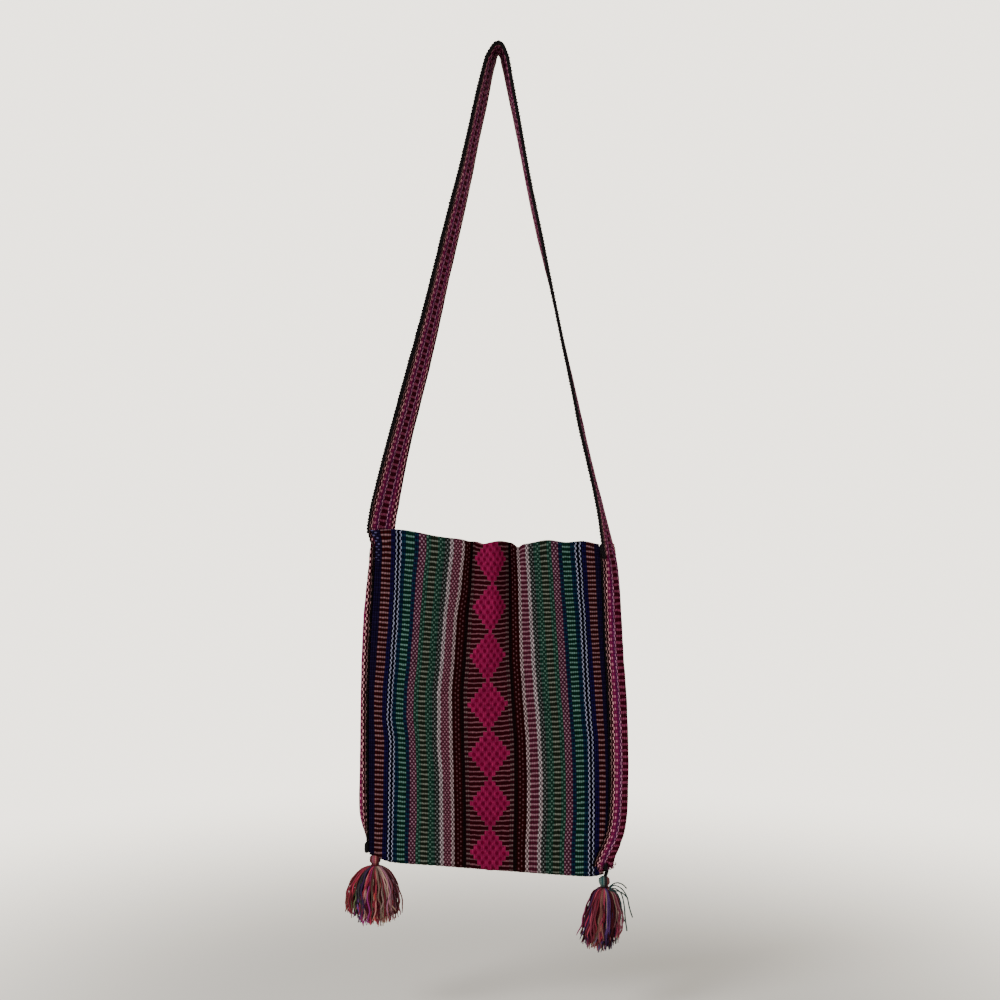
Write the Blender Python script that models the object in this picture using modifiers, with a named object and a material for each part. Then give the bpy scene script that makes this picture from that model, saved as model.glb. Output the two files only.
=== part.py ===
# Woven striped shoulder bag with two corner tassels, hanging by its strap.
# Metres, +Z up, the front faces -Y. The origin is on the underside of the strap, at the
# middle of its crown, where a hook or a shoulder carries it.
import bmesh
import bpy
from math import acos, atan2, cos, exp, hypot, pi, radians, sin, sqrt
from mathutils import Vector

# Bag cloth: one striped cloth, folded at the bottom into a front and a back panel
CLOTH_THICKNESS = 0.0016
PANEL_HEIGHT = 0.3435
BOTTOM_TILT = 0.0185        # how much lower the right end of the bottom fold hangs
LEFT_CORNER_LIFT = 0.0065   # the tassel's tie draws the bottom corner up
RIGHT_CORNER_LIFT = 0.0025
CORNER_LIFT_WIDTH = 0.011
BAG_CENTRE = -0.0093        # the cloth's middle, to the left of the strap's crown
BACK_PLANE = 0.0006         # the bag's middle plane, behind the crown
FOLD_ROUNDING = 1.25        # height of the bottom fold's rounding to its half depth
FOLD_STEPS = 5

# The stripes from the middle outwards: name and width. The middle one is half the motif.
STRIPES = (
    ("motif", 0.0210), ("border", 0.0105), ("burgundy", 0.0102), ("crimson", 0.0092),
    ("grey", 0.0089), ("green", 0.0066), ("olive", 0.0079), ("leaf", 0.0042),
    ("rose", 0.0070), ("navy", 0.0037), ("emerald", 0.0081), ("teal", 0.0042),
    ("white", 0.0070), ("indigo", 0.0045), ("red", 0.0086), ("edge", 0.0054),
)
STRIPE_RELIEF = 0.00035     # every other stripe border stands proud by this
DIAMOND_PITCH = 0.0513
FIRST_DIAMOND = 0.0150      # from the mouth to the middle of the first diamond
DIAMOND_RELIEF = 0.0009
DIAMOND_BEVEL = 0.0022

# How far each panel edge stands in from the cloth's half width: share of the way down, inset
LEFT_FOOT = 0.0030          # the inset of both panels at the bottom fold
RIGHT_FOOT = 0.0110
FRONT_LEFT = ((0, 0.0067), (0.06, 0.0066), (0.30, 0.0028), (0.50, 0.0003), (0.90, 0),
              (1, LEFT_FOOT))
FRONT_RIGHT = ((0, 0.0127), (0.06, 0.0107), (0.30, 0.0066), (0.45, 0.0034), (0.66, 0.0006),
               (0.80, 0.0007), (0.88, 0.0030), (0.96, 0.0100), (1, RIGHT_FOOT))
BACK_LEFT = ((0, 0.0288), (0.07, 0.0220), (0.25, 0.0090), (0.50, 0.0045), (0.90, 0.0030),
             (1, LEFT_FOOT))
BACK_RIGHT = ((0, -0.0030), (0.30, -0.0040), (0.75, -0.0038), (0.90, 0.0030), (0.96, 0.0090),
              (1, RIGHT_FOOT))
# Half the bag's depth at the left edge, in the middle and at the right edge
LEFT_DEPTH = ((0, 0.0110), (0.50, 0.0100), (0.80, 0.0090), (0.97, 0.0050), (1, 0.0050))
MIDDLE_DEPTH = ((0, 0.0092), (0.50, 0.0088), (0.80, 0.0078), (0.97, 0.0048), (1, 0.0048))
RIGHT_DEPTH = ((0, 0.0110), (0.12, 0.0076), (0.30, 0.0042), (0.97, 0.0036), (1, 0.0036))

# Soft folds that start at the mouth: place across the cloth, half width, depth, length down
FRONT_FOLDS = ((0.003, 0.011, -0.0080, 0.100), (-0.021, 0.009, 0.0045, 0.120),
               (0.027, 0.008, 0.0052, 0.150), (-0.075, 0.020, -0.0030, 0.240),
               (0.075, 0.022, -0.0026, 0.300))
BACK_FOLDS = ((-0.060, 0.018, 0.0060, 0.130), (0.020, 0.020, -0.0040, 0.140),
              (0.080, 0.016, 0.0040, 0.200))

# Band: one woven strip that is both side gussets and the strap
BAND_THICKNESS = 0.0020
BAND_STRIPES = (("selvedge", 0.0028), ("peach", 0.0066), ("purple", 0.0040), ("ladder", 0.0062),
                ("purple", 0.0040), ("peach", 0.0066), ("selvedge", 0.0028))
LEFT_DROP = 0.5145          # crown to the mouth's left corner
RIGHT_DROP = 0.5265
HOOK_RADIUS = 0.0065        # of what the crown lies on
LEFT_BOW = (-0.0010, 0.0020)    # how far a leg leaves the straight line: once, and as an S
RIGHT_BOW = (-0.0035, -0.0015)
LEG_ROWS = 22
CROWN_ROWS = 8
CROWN_SHARE = 0.02          # the crown's part of the places along the strap
LEG_BLEND = 0.10            # share of a leg in which it turns into the gusset
BAND_END = 0.0120           # the gussets end this far above the cloth's bottom
GATHER = 0.62               # share of the band's width that is left at its gathered ends
GATHER_LENGTH = 0.030
# Turn of the band about its length, in degrees: 0 shows its inner face, 90 its front edge.
# The first number runs from -1 at the left mouth corner over 0 at the crown to 1.
TWIST = ((-1, 42), (-0.90, 38), (-0.70, 42), (-0.50, 54), (-0.34, 57), (-0.18, 65), (-0.04, 77),
         (0.02, 97), (0.08, 103), (0.20, 90), (0.60, 87), (0.90, 80), (1, 66))
CROWN_TILT = 0.20           # the front edge lies higher over the hook
CROWN_TILT_REACH = 0.05

# Seams, corner lashings and tassels
GAP = 0.0004                # between pieces that touch
SEAM_RADIUS = 0.0012
SEAM_WAIST = 0.0008         # the overcast yarn between two stitches
SEAM_STITCH = 0.0120
LASHING_HEIGHT = 0.0100
LEFT_LASHING_RADIUS = 0.0034
RIGHT_LASHING_HEIGHT = 0.0060
RIGHT_LASHING_RADIUS = 0.0058
TIE_RADIUS = 0.0013
LEFT_TIE_LENGTH = 0.0030
LEFT_TIE_INSET = 0.0040     # from the cloth's bottom left corner
RIGHT_TIE_RADIUS = 0.0021
RIGHT_TIE_LENGTH = 0.0066
RIGHT_TIE_LEAN = 0.0018     # its lower end hangs further in, under the corner
TIE_STEPS = 6
TIE_WAIST = 0.85            # its radius between two turns of yarn, as a share
DOME_RINGS = 2              # a tie's round top, which turns about its own middle
HEAD_RADIUS = 0.0056
HEAD_HEIGHT = 0.0095
HEAD_RINGS = 4
NECK_RADIUS = 0.0030
BINDING_RADIUS = 0.0010
YARN_START = 0.0010         # radius of a lock of yarns at the neck
YARN_TIP = 0.0021
YARN_RINGS = ((1, 0.0, 0.0), (6, 0.0023, 0.42), (12, 0.0046, 1.0))  # count, radius, share of reach
YARN_STEPS = 5
RING_SHORTER = 0.20         # the outermost yarns end higher by this share of the length
LEFT_YARN_LENGTH = 0.0560
LEFT_REACH = (0.0275, 0.0255, 0.0180)    # to the left, to the right, and to front and back
RIGHT_YARN_LENGTH = 0.0625
RIGHT_REACH = (0.0225, 0.0195, 0.0150)

COLOURS = {
    "diamond": (0.46, 0.02, 0.13), "motif": (0.07, 0.008, 0.018),
    "border": (0.006, 0.003, 0.003), "burgundy": (0.06, 0.006, 0.012),
    "crimson": (0.25, 0.05, 0.09), "grey": (0.20, 0.20, 0.19), "green": (0.010, 0.11, 0.065),
    "olive": (0.12, 0.09, 0.04), "leaf": (0.008, 0.10, 0.055), "rose": (0.24, 0.05, 0.10),
    "navy": (0.006, 0.010, 0.055), "emerald": (0.010, 0.09, 0.05), "teal": (0.004, 0.025, 0.06),
    "white": (0.17, 0.17, 0.22), "indigo": (0.010, 0.008, 0.08), "red": (0.13, 0.025, 0.015),
    "edge": (0.005, 0.005, 0.03), "selvedge": (0.006, 0.005, 0.005), "peach": (0.42, 0.12, 0.16),
    "purple": (0.16, 0.02, 0.14), "ladder": (0.13, 0.01, 0.035), "coral": (0.50, 0.05, 0.06),
    "sage": (0.16, 0.18, 0.08), "plum": (0.14, 0.015, 0.14), "beige": (0.42, 0.26, 0.16),
    "mauve": (0.12, 0.05, 0.06),
}
LEFT_YARNS = ("burgundy", "mauve", "beige", "coral", "plum", "sage")
RIGHT_YARNS = ("crimson", "navy", "coral", "teal", "beige", "burgundy")
YARN_ROUGHNESS = 0.85


def start():
    for old in list(bpy.data.objects):
        bpy.data.objects.remove(old)
    bag = bpy.data.collections.new("Woven shoulder bag")
    bpy.context.scene.collection.children.link(bag)
    return bag


def material(name, colour):
    made = bpy.data.materials.new(name)
    made.use_nodes = True
    shader = made.node_tree.nodes["Principled BSDF"]
    shader.inputs["Base Color"].default_value = (*COLOURS[colour], 1)
    shader.inputs["Roughness"].default_value = YARN_ROUGHNESS
    shader.inputs["Metallic"].default_value = 0
    return made


def through(points, at):
    """A smooth curve through (place, value) pairs, level at both ends."""
    last = len(points) - 1
    if at <= points[0][0]:
        return points[0][1]
    if at >= points[last][0]:
        return points[last][1]
    i = max(k for k in range(last) if points[k][0] <= at)
    width = points[i + 1][0] - points[i][0]
    rise = points[i + 1][1] - points[i][1]

    def slope(k):
        if k in (0, last):
            return 0
        return (points[k + 1][1] - points[k - 1][1]) / (points[k + 1][0] - points[k - 1][0])

    f = (at - points[i][0]) / width
    first, second = slope(i) * width, slope(i + 1) * width
    return (points[i][1] + f * first + f * f * (3 * rise - 2 * first - second)
            + f * f * f * (first + second - 2 * rise))


def hump(x):
    return exp(-x * x)


# The cloth's form. u runs from 0 at its left edge to 1 at its right edge, and down is the
# distance from the mouth along the panel.
HALF_WIDTH = sum(width for _, width in STRIPES)
CLOTH_WIDTH = 2 * HALF_WIDTH


def mouth_z(u):
    return -(LEFT_DROP + (RIGHT_DROP - LEFT_DROP) * sin(pi / 2 * u))


def bottom_z(u):
    lift = LEFT_CORNER_LIFT * hump(u * CLOTH_WIDTH / CORNER_LIFT_WIDTH)
    lift += RIGHT_CORNER_LIFT * hump((1 - u) * CLOTH_WIDTH / CORNER_LIFT_WIDTH)
    return -(LEFT_DROP + PANEL_HEIGHT + BOTTOM_TILT * u) + lift


def panel_length(u):
    return mouth_z(u) - bottom_z(u)


def half_depth(u, share):
    ends = through(LEFT_DEPTH, share) * (1 - u) + through(RIGHT_DEPTH, share) * u
    middle = through(MIDDLE_DEPTH, share)
    even = (through(LEFT_DEPTH, share) + through(RIGHT_DEPTH, share)) / 2
    return ends + (middle - even) * 4 * u * (1 - u)


def folds(across, down, front):
    pleats = FRONT_FOLDS if front else BACK_FOLDS
    return sum(depth * hump((across - place) / width) * hump(down / length)
               for place, width, depth, length in pleats)


def side_edges(share, front):
    """The panel's left and right edge, as x."""
    left, right = (FRONT_LEFT, FRONT_RIGHT) if front else (BACK_LEFT, BACK_RIGHT)
    return (BAG_CENTRE - HALF_WIDTH + through(left, share),
            BAG_CENTRE + HALF_WIDTH - through(right, share))


def panel_row(columns, place, front):
    """One row of a panel. place(u) gives the distance down from the mouth."""
    points = []
    for across in columns:
        u = across / CLOTH_WIDTH + 0.5
        down = place(u)
        share = down / panel_length(u)
        depth = half_depth(u, share)
        y = BACK_PLANE + (-depth if front else depth) + folds(across, down, front)
        points.append(Vector((across, y, mouth_z(u) - down)))
    return spread(points, side_edges(place(0.5) / panel_length(0.5), front))


def spread(points, ends):
    """Moves a row's points along X to fill it, closer together where the cloth turns in depth."""
    steps = [0]
    for a, b in zip(points, points[1:]):
        wide, deep = b.x - a.x, b.y - a.y
        steps.append(steps[-1] + sqrt(max(wide * wide - deep * deep, (0.3 * wide) ** 2)))
    for point, step in zip(points, steps):
        point.x = ends[0] + (ends[1] - ends[0]) * step / steps[-1]
    return points


def fold_row(columns, angle):
    """One row of the round bottom fold: angle 0 at the front, pi at the back."""
    points = []
    for across in columns:
        u = across / CLOTH_WIDTH + 0.5
        depth = half_depth(u, 1)
        y = BACK_PLANE - depth * cos(angle)
        z = bottom_z(u) + fold_height(u) * (1 - sin(angle))
        points.append(Vector((across, y, z)))
    return spread(points, side_edges(1, True))


def fold_height(u):
    return FOLD_ROUNDING * half_depth(u, 1)


def cloth_columns():
    borders = [0]
    for _, width in STRIPES:
        borders.append(borders[-1] + width)
    return [-x for x in reversed(borders[1:])] + borders


def diamond_places():
    """Distances from the mouth to the middles and the tips of the diamonds, in turn."""
    places = [FIRST_DIAMOND]
    while places[-1] + DIAMOND_PITCH / 2 < PANEL_HEIGHT - 1.5 * BAND_END:
        places.append(places[-1] + DIAMOND_PITCH / 2)
    return places


def row_places():
    """For each row of a panel, a function that gives its distance down from the mouth."""
    shares = [down / PANEL_HEIGHT for down in [0] + diamond_places()]
    rows = [lambda u, share=share: share * panel_length(u) for share in shares]
    return rows + [lambda u: panel_length(u) - BAND_END]


def cloth_rows(columns):
    places = row_places()
    rows = [panel_row(columns, place, True) for place in places]
    rows += [fold_row(columns, pi * k / FOLD_STEPS) for k in range(FOLD_STEPS + 1)]
    rows += [panel_row(columns, place, False) for place in reversed(places)]
    return rows


def sheet(collection, name, rows, thickness, fields, colours):
    """A cloth from rows of points, given its thickness. fields names each column's colour."""
    mesh = bpy.data.meshes.new(name)
    grid = bmesh.new()
    across, along = len(rows[0]) - 1, len(rows) - 1
    bmesh.ops.create_grid(grid, x_segments=across, y_segments=along, size=1)
    for vert in grid.verts:
        i = round((vert.co.x + 1) / 2 * across)
        j = round((vert.co.y + 1) / 2 * along)
        vert.co = rows[j][i]
        vert.index = j * (across + 1) + i
    grid.verts.sort()
    grid.verts.ensure_lookup_table()
    for face in grid.faces:
        column = min(vert.index % (across + 1) for vert in face.verts)
        face.material_index = colours.index(fields[column])
    bmesh.ops.reverse_faces(grid, faces=grid.faces)
    grid.to_mesh(mesh)
    grid.free()
    made = bpy.data.objects.new(name, mesh)
    collection.objects.link(made)
    for colour in colours:
        mesh.materials.append(material(name + "_" + colour, colour))
    solid = made.modifiers.new("Thickness", "SOLIDIFY")
    solid.thickness = thickness
    solid.offset = 0
    return made


def raise_diamonds(cloth, columns):
    """Splits the motif's squares along the diamonds' sides and lifts each diamond."""
    mesh = cloth.data
    grid = bmesh.new()
    grid.from_mesh(mesh)
    grid.verts.ensure_lookup_table()
    count = len(columns)
    middle = columns.index(0)
    panel_rows = len(row_places())
    rows = len(grid.verts) // count
    diamonds = []
    for first, step in ((1, 1), (rows - 2, -1)):
        for k in range(0, panel_rows - 2, 2):
            centre = first + step * k
            corners = [(centre - 1, middle), (centre, middle - 1), (centre + 1, middle),
                       (centre, middle + 1)]
            diamonds.append((centre * count + middle, [j * count + i for j, i in corners]))
    for heart, corners in diamonds:
        for a, b in zip(corners, corners[1:] + corners[:1]):
            ends = grid.verts[a], grid.verts[b]
            shared = [face for face in ends[0].link_faces if face in ends[1].link_faces]
            if len(shared) == 1 and len(shared[0].verts) == 4:
                bmesh.utils.face_split(shared[0], *ends)
    hearts = [grid.verts[heart] for heart, _ in diamonds]
    for heart in hearts:
        faces = [face for face in heart.link_faces if len(face.verts) == 3]
        for face in faces:
            face.material_index = len(mesh.materials)
        bmesh.ops.inset_region(grid, faces=faces, thickness=DIAMOND_BEVEL, depth=DIAMOND_RELIEF)
    grid.to_mesh(mesh)
    grid.free()


def ribbed(rows):
    """Lifts every other stripe border off the cloth, so that the stripes read as ribs."""
    for j, row in enumerate(rows):
        near = rows[max(j - 1, 0)], rows[min(j + 1, len(rows) - 1)]
        for i in range(1, len(row) - 1, 2):
            side = (row[i + 1] - row[i - 1]).cross(near[0][i] - near[1][i])
            row[i] = row[i] + side.normalized() * STRIPE_RELIEF
    return rows


def body_cloth(collection):
    columns = cloth_columns()
    names = [name for name, _ in STRIPES]
    fields = names[::-1] + names
    rows = ribbed(cloth_rows(columns))
    cloth = sheet(collection, "body_cloth", rows, CLOTH_THICKNESS, fields, names)
    raise_diamonds(cloth, columns)
    cloth.data.materials.append(material("body_cloth_diamond", "diamond"))
    return cloth


# The band's form. A station is the band's front edge, back edge and the way it bulges.
BAND_WIDTH = sum(width for _, width in BAND_STRIPES)
EDGE_OFFSET = BAND_THICKNESS / 2 + GAP


def edge_point(left, front, place):
    """A point on the cloth's side edge, where the band is sewn to it."""
    ends = panel_row([-HALF_WIDTH, HALF_WIDTH], place, front)
    return ends[0 if left else 1]


def gusset_station(left, place):
    way = Vector((-1 if left else 1, 0, 0))
    front, back = (edge_point(left, face, place) + way * EDGE_OFFSET for face in (True, False))
    u = 0 if left else 1
    above = panel_length(u) - place(u) - BAND_END
    width = BAND_WIDTH * (1 - (1 - GATHER) * hump(above / GATHER_LENGTH))
    return front, back, way, width


def tangent_angle(foot, side):
    """Where round the hook a leg that ends at foot leaves it."""
    radius = HOOK_RADIUS + BAND_THICKNESS / 2
    x, z = foot.x, foot.z + HOOK_RADIUS
    return atan2(z, x) + side * acos(radius / hypot(x, z))


def leg_point(foot, side, f):
    """The leg's middle line: f is 0 where it leaves the hook and 1 at the mouth."""
    radius = HOOK_RADIUS + BAND_THICKNESS / 2
    turn = tangent_angle(foot, side)
    top = Vector((radius * cos(turn), 0, radius * sin(turn) - HOOK_RADIUS))
    bow = LEFT_BOW if side < 0 else RIGHT_BOW
    aside = bow[0] * sin(pi * f) + bow[1] * sin(2 * pi * f)
    return top.lerp(foot, f) + Vector((aside, 0, 0))


def strap_line(feet):
    """Signed place along the strap and its middle line, from the left mouth to the right."""
    turns = [tangent_angle(foot, side) for foot, side in zip(feet, (-1, 1))]
    if turns[0] < 0:
        turns[0] += 2 * pi
    radius = HOOK_RADIUS + BAND_THICKNESS / 2
    line = [(-k / LEG_ROWS, leg_point(feet[0], -1, k / LEG_ROWS)) for k in range(LEG_ROWS, -1, -1)]
    for k in range(1, CROWN_ROWS):
        turn = turns[0] + (turns[1] - turns[0]) * k / CROWN_ROWS
        point = Vector((radius * cos(turn), 0, radius * sin(turn) - HOOK_RADIUS))
        line.append(((k / CROWN_ROWS - 0.5) * 2 * CROWN_SHARE, point))
    line += [(k / LEG_ROWS, leg_point(feet[1], 1, k / LEG_ROWS)) for k in range(LEG_ROWS + 1)]
    return line


def strap_stations():
    """Stations of the strap between the two mouth corners, both left out."""
    def mouth(u):
        return 0

    ends = [gusset_station(left, mouth) for left in (True, False)]
    feet = [(front + back) / 2 for front, back, _, _ in ends]
    line = strap_line(feet)
    stations = []
    for k, (at, point) in enumerate(line):
        before, after = line[max(k - 1, 0)][1], line[min(k + 1, len(line) - 1)][1]
        along = (after - before).normalized()
        turn = radians(through(TWIST, at))
        tilt = -CROWN_TILT * hump(at / CROWN_TILT_REACH)
        across = Vector((cos(turn), sin(turn), tilt))
        across = (across - along * across.dot(along)).normalized() * BAND_WIDTH / 2
        stations.append([point - across, point + across])
    for end, row, side in ((ends[0], 0, -1), (ends[1], -1, 1)):
        shifts = [end[face] - stations[row][face] for face in (0, 1)]
        for station, (at, _) in zip(stations, line):
            near = max(0, (at * side - 1 + LEG_BLEND) / LEG_BLEND)
            for face in (0, 1):
                station[face] = station[face] + shifts[face] * near * near * (3 - 2 * near)
    ways = [ends[0 if at < 0 else 1][2] for at, _ in line]
    return [(*station, way, BAND_WIDTH) for station, way in zip(stations, ways)][1:-1]


def band_row(station, shares):
    """Points across the band: an arch of the band's width from its front to its back edge."""
    front, back, way, width = station
    middle, half = (front + back) / 2, (back - front) / 2

    def arch(height, count=36):
        turns = [pi * k / count for k in range(count + 1)]
        return [middle - half * cos(t) + way * height * sin(t) for t in turns]

    def lengths(points):
        total = [0]
        for a, b in zip(points, points[1:]):
            total.append(total[-1] + (b - a).length)
        return total

    low, high = 0, width
    for _ in range(30):
        height = (low + high) / 2
        if lengths(arch(height))[-1] < width:
            low = height
        else:
            high = height
    points = arch(low)
    total = lengths(points)
    row = []
    for share in shares:
        at = share * total[-1]
        k = min(max(i for i, x in enumerate(total) if x <= at + 1e-9), len(points) - 2)
        row.append(points[k].lerp(points[k + 1], (at - total[k]) / (total[k + 1] - total[k])))
    return row


def band_shares():
    shares = [0]
    for _, width in BAND_STRIPES:
        shares.append(shares[-1] + width / BAND_WIDTH)
    return shares


def band_rows():
    shares = band_shares()
    places = row_places()
    stations = [gusset_station(True, place) for place in reversed(places)]
    stations += strap_stations()
    stations += [gusset_station(False, place) for place in places]
    return [band_row(station, shares) for station in stations]


def strap_band(collection):
    fields = [name for name, _ in BAND_STRIPES]
    return sheet(collection, "strap_band", band_rows(), BAND_THICKNESS, fields,
                 sorted(set(fields)))


def tube(collection, name, points, radii, colour, resolution=0):
    """A cord through points, with its own radius at each."""
    curve = bpy.data.curves.new(name, "CURVE")
    curve.dimensions = "3D"
    curve.bevel_depth = 1
    curve.bevel_resolution = resolution
    curve.use_fill_caps = True
    spline = curve.splines.new("POLY")
    spline.points.add(len(points) - 1)
    for dot, point, radius in zip(spline.points, points, radii):
        dot.co = (*point, 1)
        dot.radius = radius
    made = bpy.data.objects.new(name, curve)
    collection.objects.link(made)
    curve.materials.append(material(name, colour))
    return made


def seam_point(left, front, place):
    """The middle of the overcast yarn, just outside the joint of panel and band."""
    shares = band_shares()
    row = band_row(gusset_station(left, place), shares)
    if not front:
        row = row[::-1]
    edge, inner = row[0], row[1]
    cloth_edge = edge_point(left, front, place)
    lead = (inner - edge).normalized()
    outer = Vector((0, -1 if front else 1, 0))
    side = Vector((-lead.y, lead.x, 0))
    if side.dot(outer) < -0.2 or (abs(side.dot(outer)) <= 0.2 and side.x * (-1 if left else 1) < 0):
        side = -side
    way = (outer + side.normalized()).normalized()
    return (edge + cloth_edge) / 2 + way * (BAND_THICKNESS / 2 + SEAM_RADIUS + GAP / 2)


def seam(collection, left, front):
    name = ("left" if left else "right") + ("_front" if front else "_back") + "_seam"
    stops = row_places()
    points = []
    for first, second in zip(stops, stops[1:]):
        a, b = seam_point(left, front, first), seam_point(left, front, second)
        count = max(1, round((b - a).length / (SEAM_STITCH / 2)))
        points += [a.lerp(b, k / count) for k in range(count)]
    points.append(seam_point(left, front, stops[-1]))
    radii = [SEAM_WAIST if k % 2 else SEAM_RADIUS for k in range(len(points))]
    return tube(collection, name, points, radii, "selvedge")


def turned(collection, name, profile, place, colour, steps=12, flatten=1.0):
    """A solid of revolution from (radius, height) pairs, top to bottom, set at place."""
    mesh = bpy.data.meshes.new(name)
    outline = bmesh.new()
    verts = [outline.verts.new((radius, 0, height)) for radius, height in profile]
    for a, b in zip(verts, verts[1:]):
        outline.edges.new((a, b))
    outline.to_mesh(mesh)
    outline.free()
    made = bpy.data.objects.new(name, mesh)
    collection.objects.link(made)
    mesh.materials.append(material(name, colour))
    screw = made.modifiers.new("Turn", "SCREW")
    screw.steps = steps
    screw.render_steps = steps
    screw.use_merge_vertices = True
    screw.merge_threshold = 0.00001
    made.location = place
    made.scale = (1, flatten, 1)
    return made


def wound(radius, height, turns=3, waist=0.82):
    """Profile of a yarn wound round and round, from the top of the axis to its foot."""
    profile = [(0, 0)]
    for k in range(turns):
        profile.append((radius * waist, -height * (k + 0.12) / turns))
        profile.append((radius, -height * (k + 0.5) / turns))
    profile.append((radius * waist, -height * 0.97))
    return profile + [(0, -height)]


def lashing_tops():
    """Where the two corner lashings start: close under the gathered ends of the band."""
    tops = []
    for left, radius in ((True, LEFT_LASHING_RADIUS), (False, RIGHT_LASHING_RADIUS)):
        end = row_places()[-1]
        front, back, way, _ = gusset_station(left, end)
        foot = edge_point(left, True, end)
        corner = fold_row([-HALF_WIDTH, HALF_WIDTH], pi / 2)[0 if left else 1]
        outermost = min(corner.x, foot.x) if left else max(corner.x, foot.x)
        x = outermost + way.x * (radius + 2 * GAP)
        tops.append(Vector((x, BACK_PLANE, foot.z - GAP)))
    return tops


def left_tie_top():
    corner = fold_row([-HALF_WIDTH, HALF_WIDTH], pi / 2)[0]
    lowest = bottom_z((LEFT_TIE_INSET + TIE_RADIUS) / CLOTH_WIDTH)
    return Vector((corner.x + LEFT_TIE_INSET, BACK_PLANE, lowest - CLOTH_THICKNESS / 2 - GAP))


def lashings(collection):
    tops = lashing_tops()
    left = turned(collection, "left_corner_lashing", wound(LEFT_LASHING_RADIUS, LASHING_HEIGHT),
                  tops[0], "selvedge", flatten=1.5)
    right = turned(collection, "right_corner_lashing",
                   wound(RIGHT_LASHING_RADIUS, RIGHT_LASHING_HEIGHT, turns=2), tops[1], "selvedge",
                   flatten=0.9)
    return left, right


def tie_ends():
    """Top and bottom of the left and of the right tie."""
    left = left_tie_top()
    right = lashing_tops()[1] + Vector((0, 0, -RIGHT_LASHING_HEIGHT - GAP))
    return ((left, left + Vector((0, 0, -LEFT_TIE_LENGTH))),
            (right, right + Vector((-RIGHT_TIE_LEAN, 0, -RIGHT_TIE_LENGTH))))


def tie(collection, name, ends, radius, waist):
    """A wound tie whose top is round, so that it can swing close under what carries it."""
    top, end = ends
    middle = top - Vector((0, 0, radius))
    turns = [pi / 2 * (k + 0.5) / DOME_RINGS for k in range(DOME_RINGS)]
    stops = [middle + Vector((0, 0, radius * cos(turn))) for turn in turns]
    radii = [radius * sin(turn) for turn in turns]
    aside = Vector((end.x - top.x, 0, 0))
    fall = end - middle - aside
    for k in range(TIE_STEPS + 1):
        f = k / TIE_STEPS
        stops.append(middle + fall * f + aside * f * f * (3 - 2 * f))
        radii.append(radius * (waist if k % 2 else 1))
    tube(collection, name, stops, radii, "selvedge", 1)


def ties(collection):
    left, right = tie_ends()
    tie(collection, "left_tie", left, TIE_RADIUS, TIE_WAIST)
    tie(collection, "right_tie", right, RIGHT_TIE_RADIUS, TIE_WAIST)


NECK_LENGTH = 2 * BINDING_RADIUS + 2 * GAP


def head_profile():
    """The doubled yarns over the tie: a round top to swing on, drawn in to the bound neck."""
    turns = [pi / 2 * k / HEAD_RINGS for k in range(HEAD_RINGS + 1)]
    dome = [(HEAD_RADIUS * sin(turn), HEAD_RADIUS * (cos(turn) - 1)) for turn in turns]
    foot = HEAD_HEIGHT + NECK_LENGTH
    return dome + [(NECK_RADIUS, -HEAD_HEIGHT), (NECK_RADIUS, -foot), (0, -foot)]


def binding(collection, name, top):
    """The yarn bound round the neck, as one ring."""
    mesh = bpy.data.meshes.new(name)
    ring = NECK_RADIUS + BINDING_RADIUS + GAP
    z = -HEAD_HEIGHT - BINDING_RADIUS - GAP
    made = bpy.data.objects.new(name, mesh)
    collection.objects.link(made)
    outline = bmesh.new()
    sides = 6
    verts = [outline.verts.new((ring + BINDING_RADIUS * cos(2 * pi * k / sides), 0,
                                z + BINDING_RADIUS * sin(2 * pi * k / sides)))
             for k in range(sides)]
    for k in range(sides):
        outline.edges.new((verts[k], verts[(k + 1) % sides]))
    outline.to_mesh(mesh)
    outline.free()
    mesh.materials.append(material(name, "selvedge"))
    screw = made.modifiers.new("Turn", "SCREW")
    screw.steps = 12
    screw.render_steps = 12
    screw.use_merge_vertices = True
    screw.merge_threshold = 0.00001
    screw.use_normal_flip = True
    made.location = top
    return made


def yarns(collection, name, top, length, reach, colours):
    """Locks of cut yarn that leave the neck close together and fall apart like a fountain."""
    start_z = -HEAD_HEIGHT - NECK_LENGTH - GAP
    number = 0
    for count, radius, share in YARN_RINGS:
        for k in range(count):
            turn = 2 * pi * (k + 0.25) / count
            side = reach[1] if cos(turn) > 0 else reach[0]
            tip = Vector((side * cos(turn), reach[2] * sin(turn), 0)) * share
            first = Vector((radius * cos(turn), radius * sin(turn), 0))
            fall = length * (1 - RING_SHORTER * share * share)
            points = []
            for i in range(YARN_STEPS + 1):
                f = i / YARN_STEPS
                out = 1 - (1 - f) ** 2
                points.append(top + first.lerp(tip, out) + Vector((0, 0, start_z - fall * f)))
            radii = [YARN_START + (YARN_TIP - YARN_START) * (i / YARN_STEPS) ** 0.7
                     for i in range(YARN_STEPS + 1)]
            number += 1
            tube(collection, f"{name}_yarns_{number:02d}", points, radii,
                 colours[number % len(colours)])


def tassel(collection, name, top, length, reach, colours, head_colour):
    turned(collection, name + "_head", head_profile(), top, head_colour)
    binding(collection, name + "_binding", top)
    yarns(collection, name, top, length, reach, colours)


def main():
    bag = start()
    body_cloth(bag)
    strap_band(bag)
    for left in (True, False):
        for front in (True, False):
            seam(bag, left, front)
    lashings(bag)
    ties(bag)
    (_, left_end), (_, right_end) = tie_ends()
    drop = Vector((0, 0, -GAP))
    tassel(bag, "left_tassel", left_end + drop, LEFT_YARN_LENGTH, LEFT_REACH, LEFT_YARNS, "crimson")
    tassel(bag, "right_tassel", right_end + drop, RIGHT_YARN_LENGTH, RIGHT_REACH, RIGHT_YARNS,
           "burgundy")


main()
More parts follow.
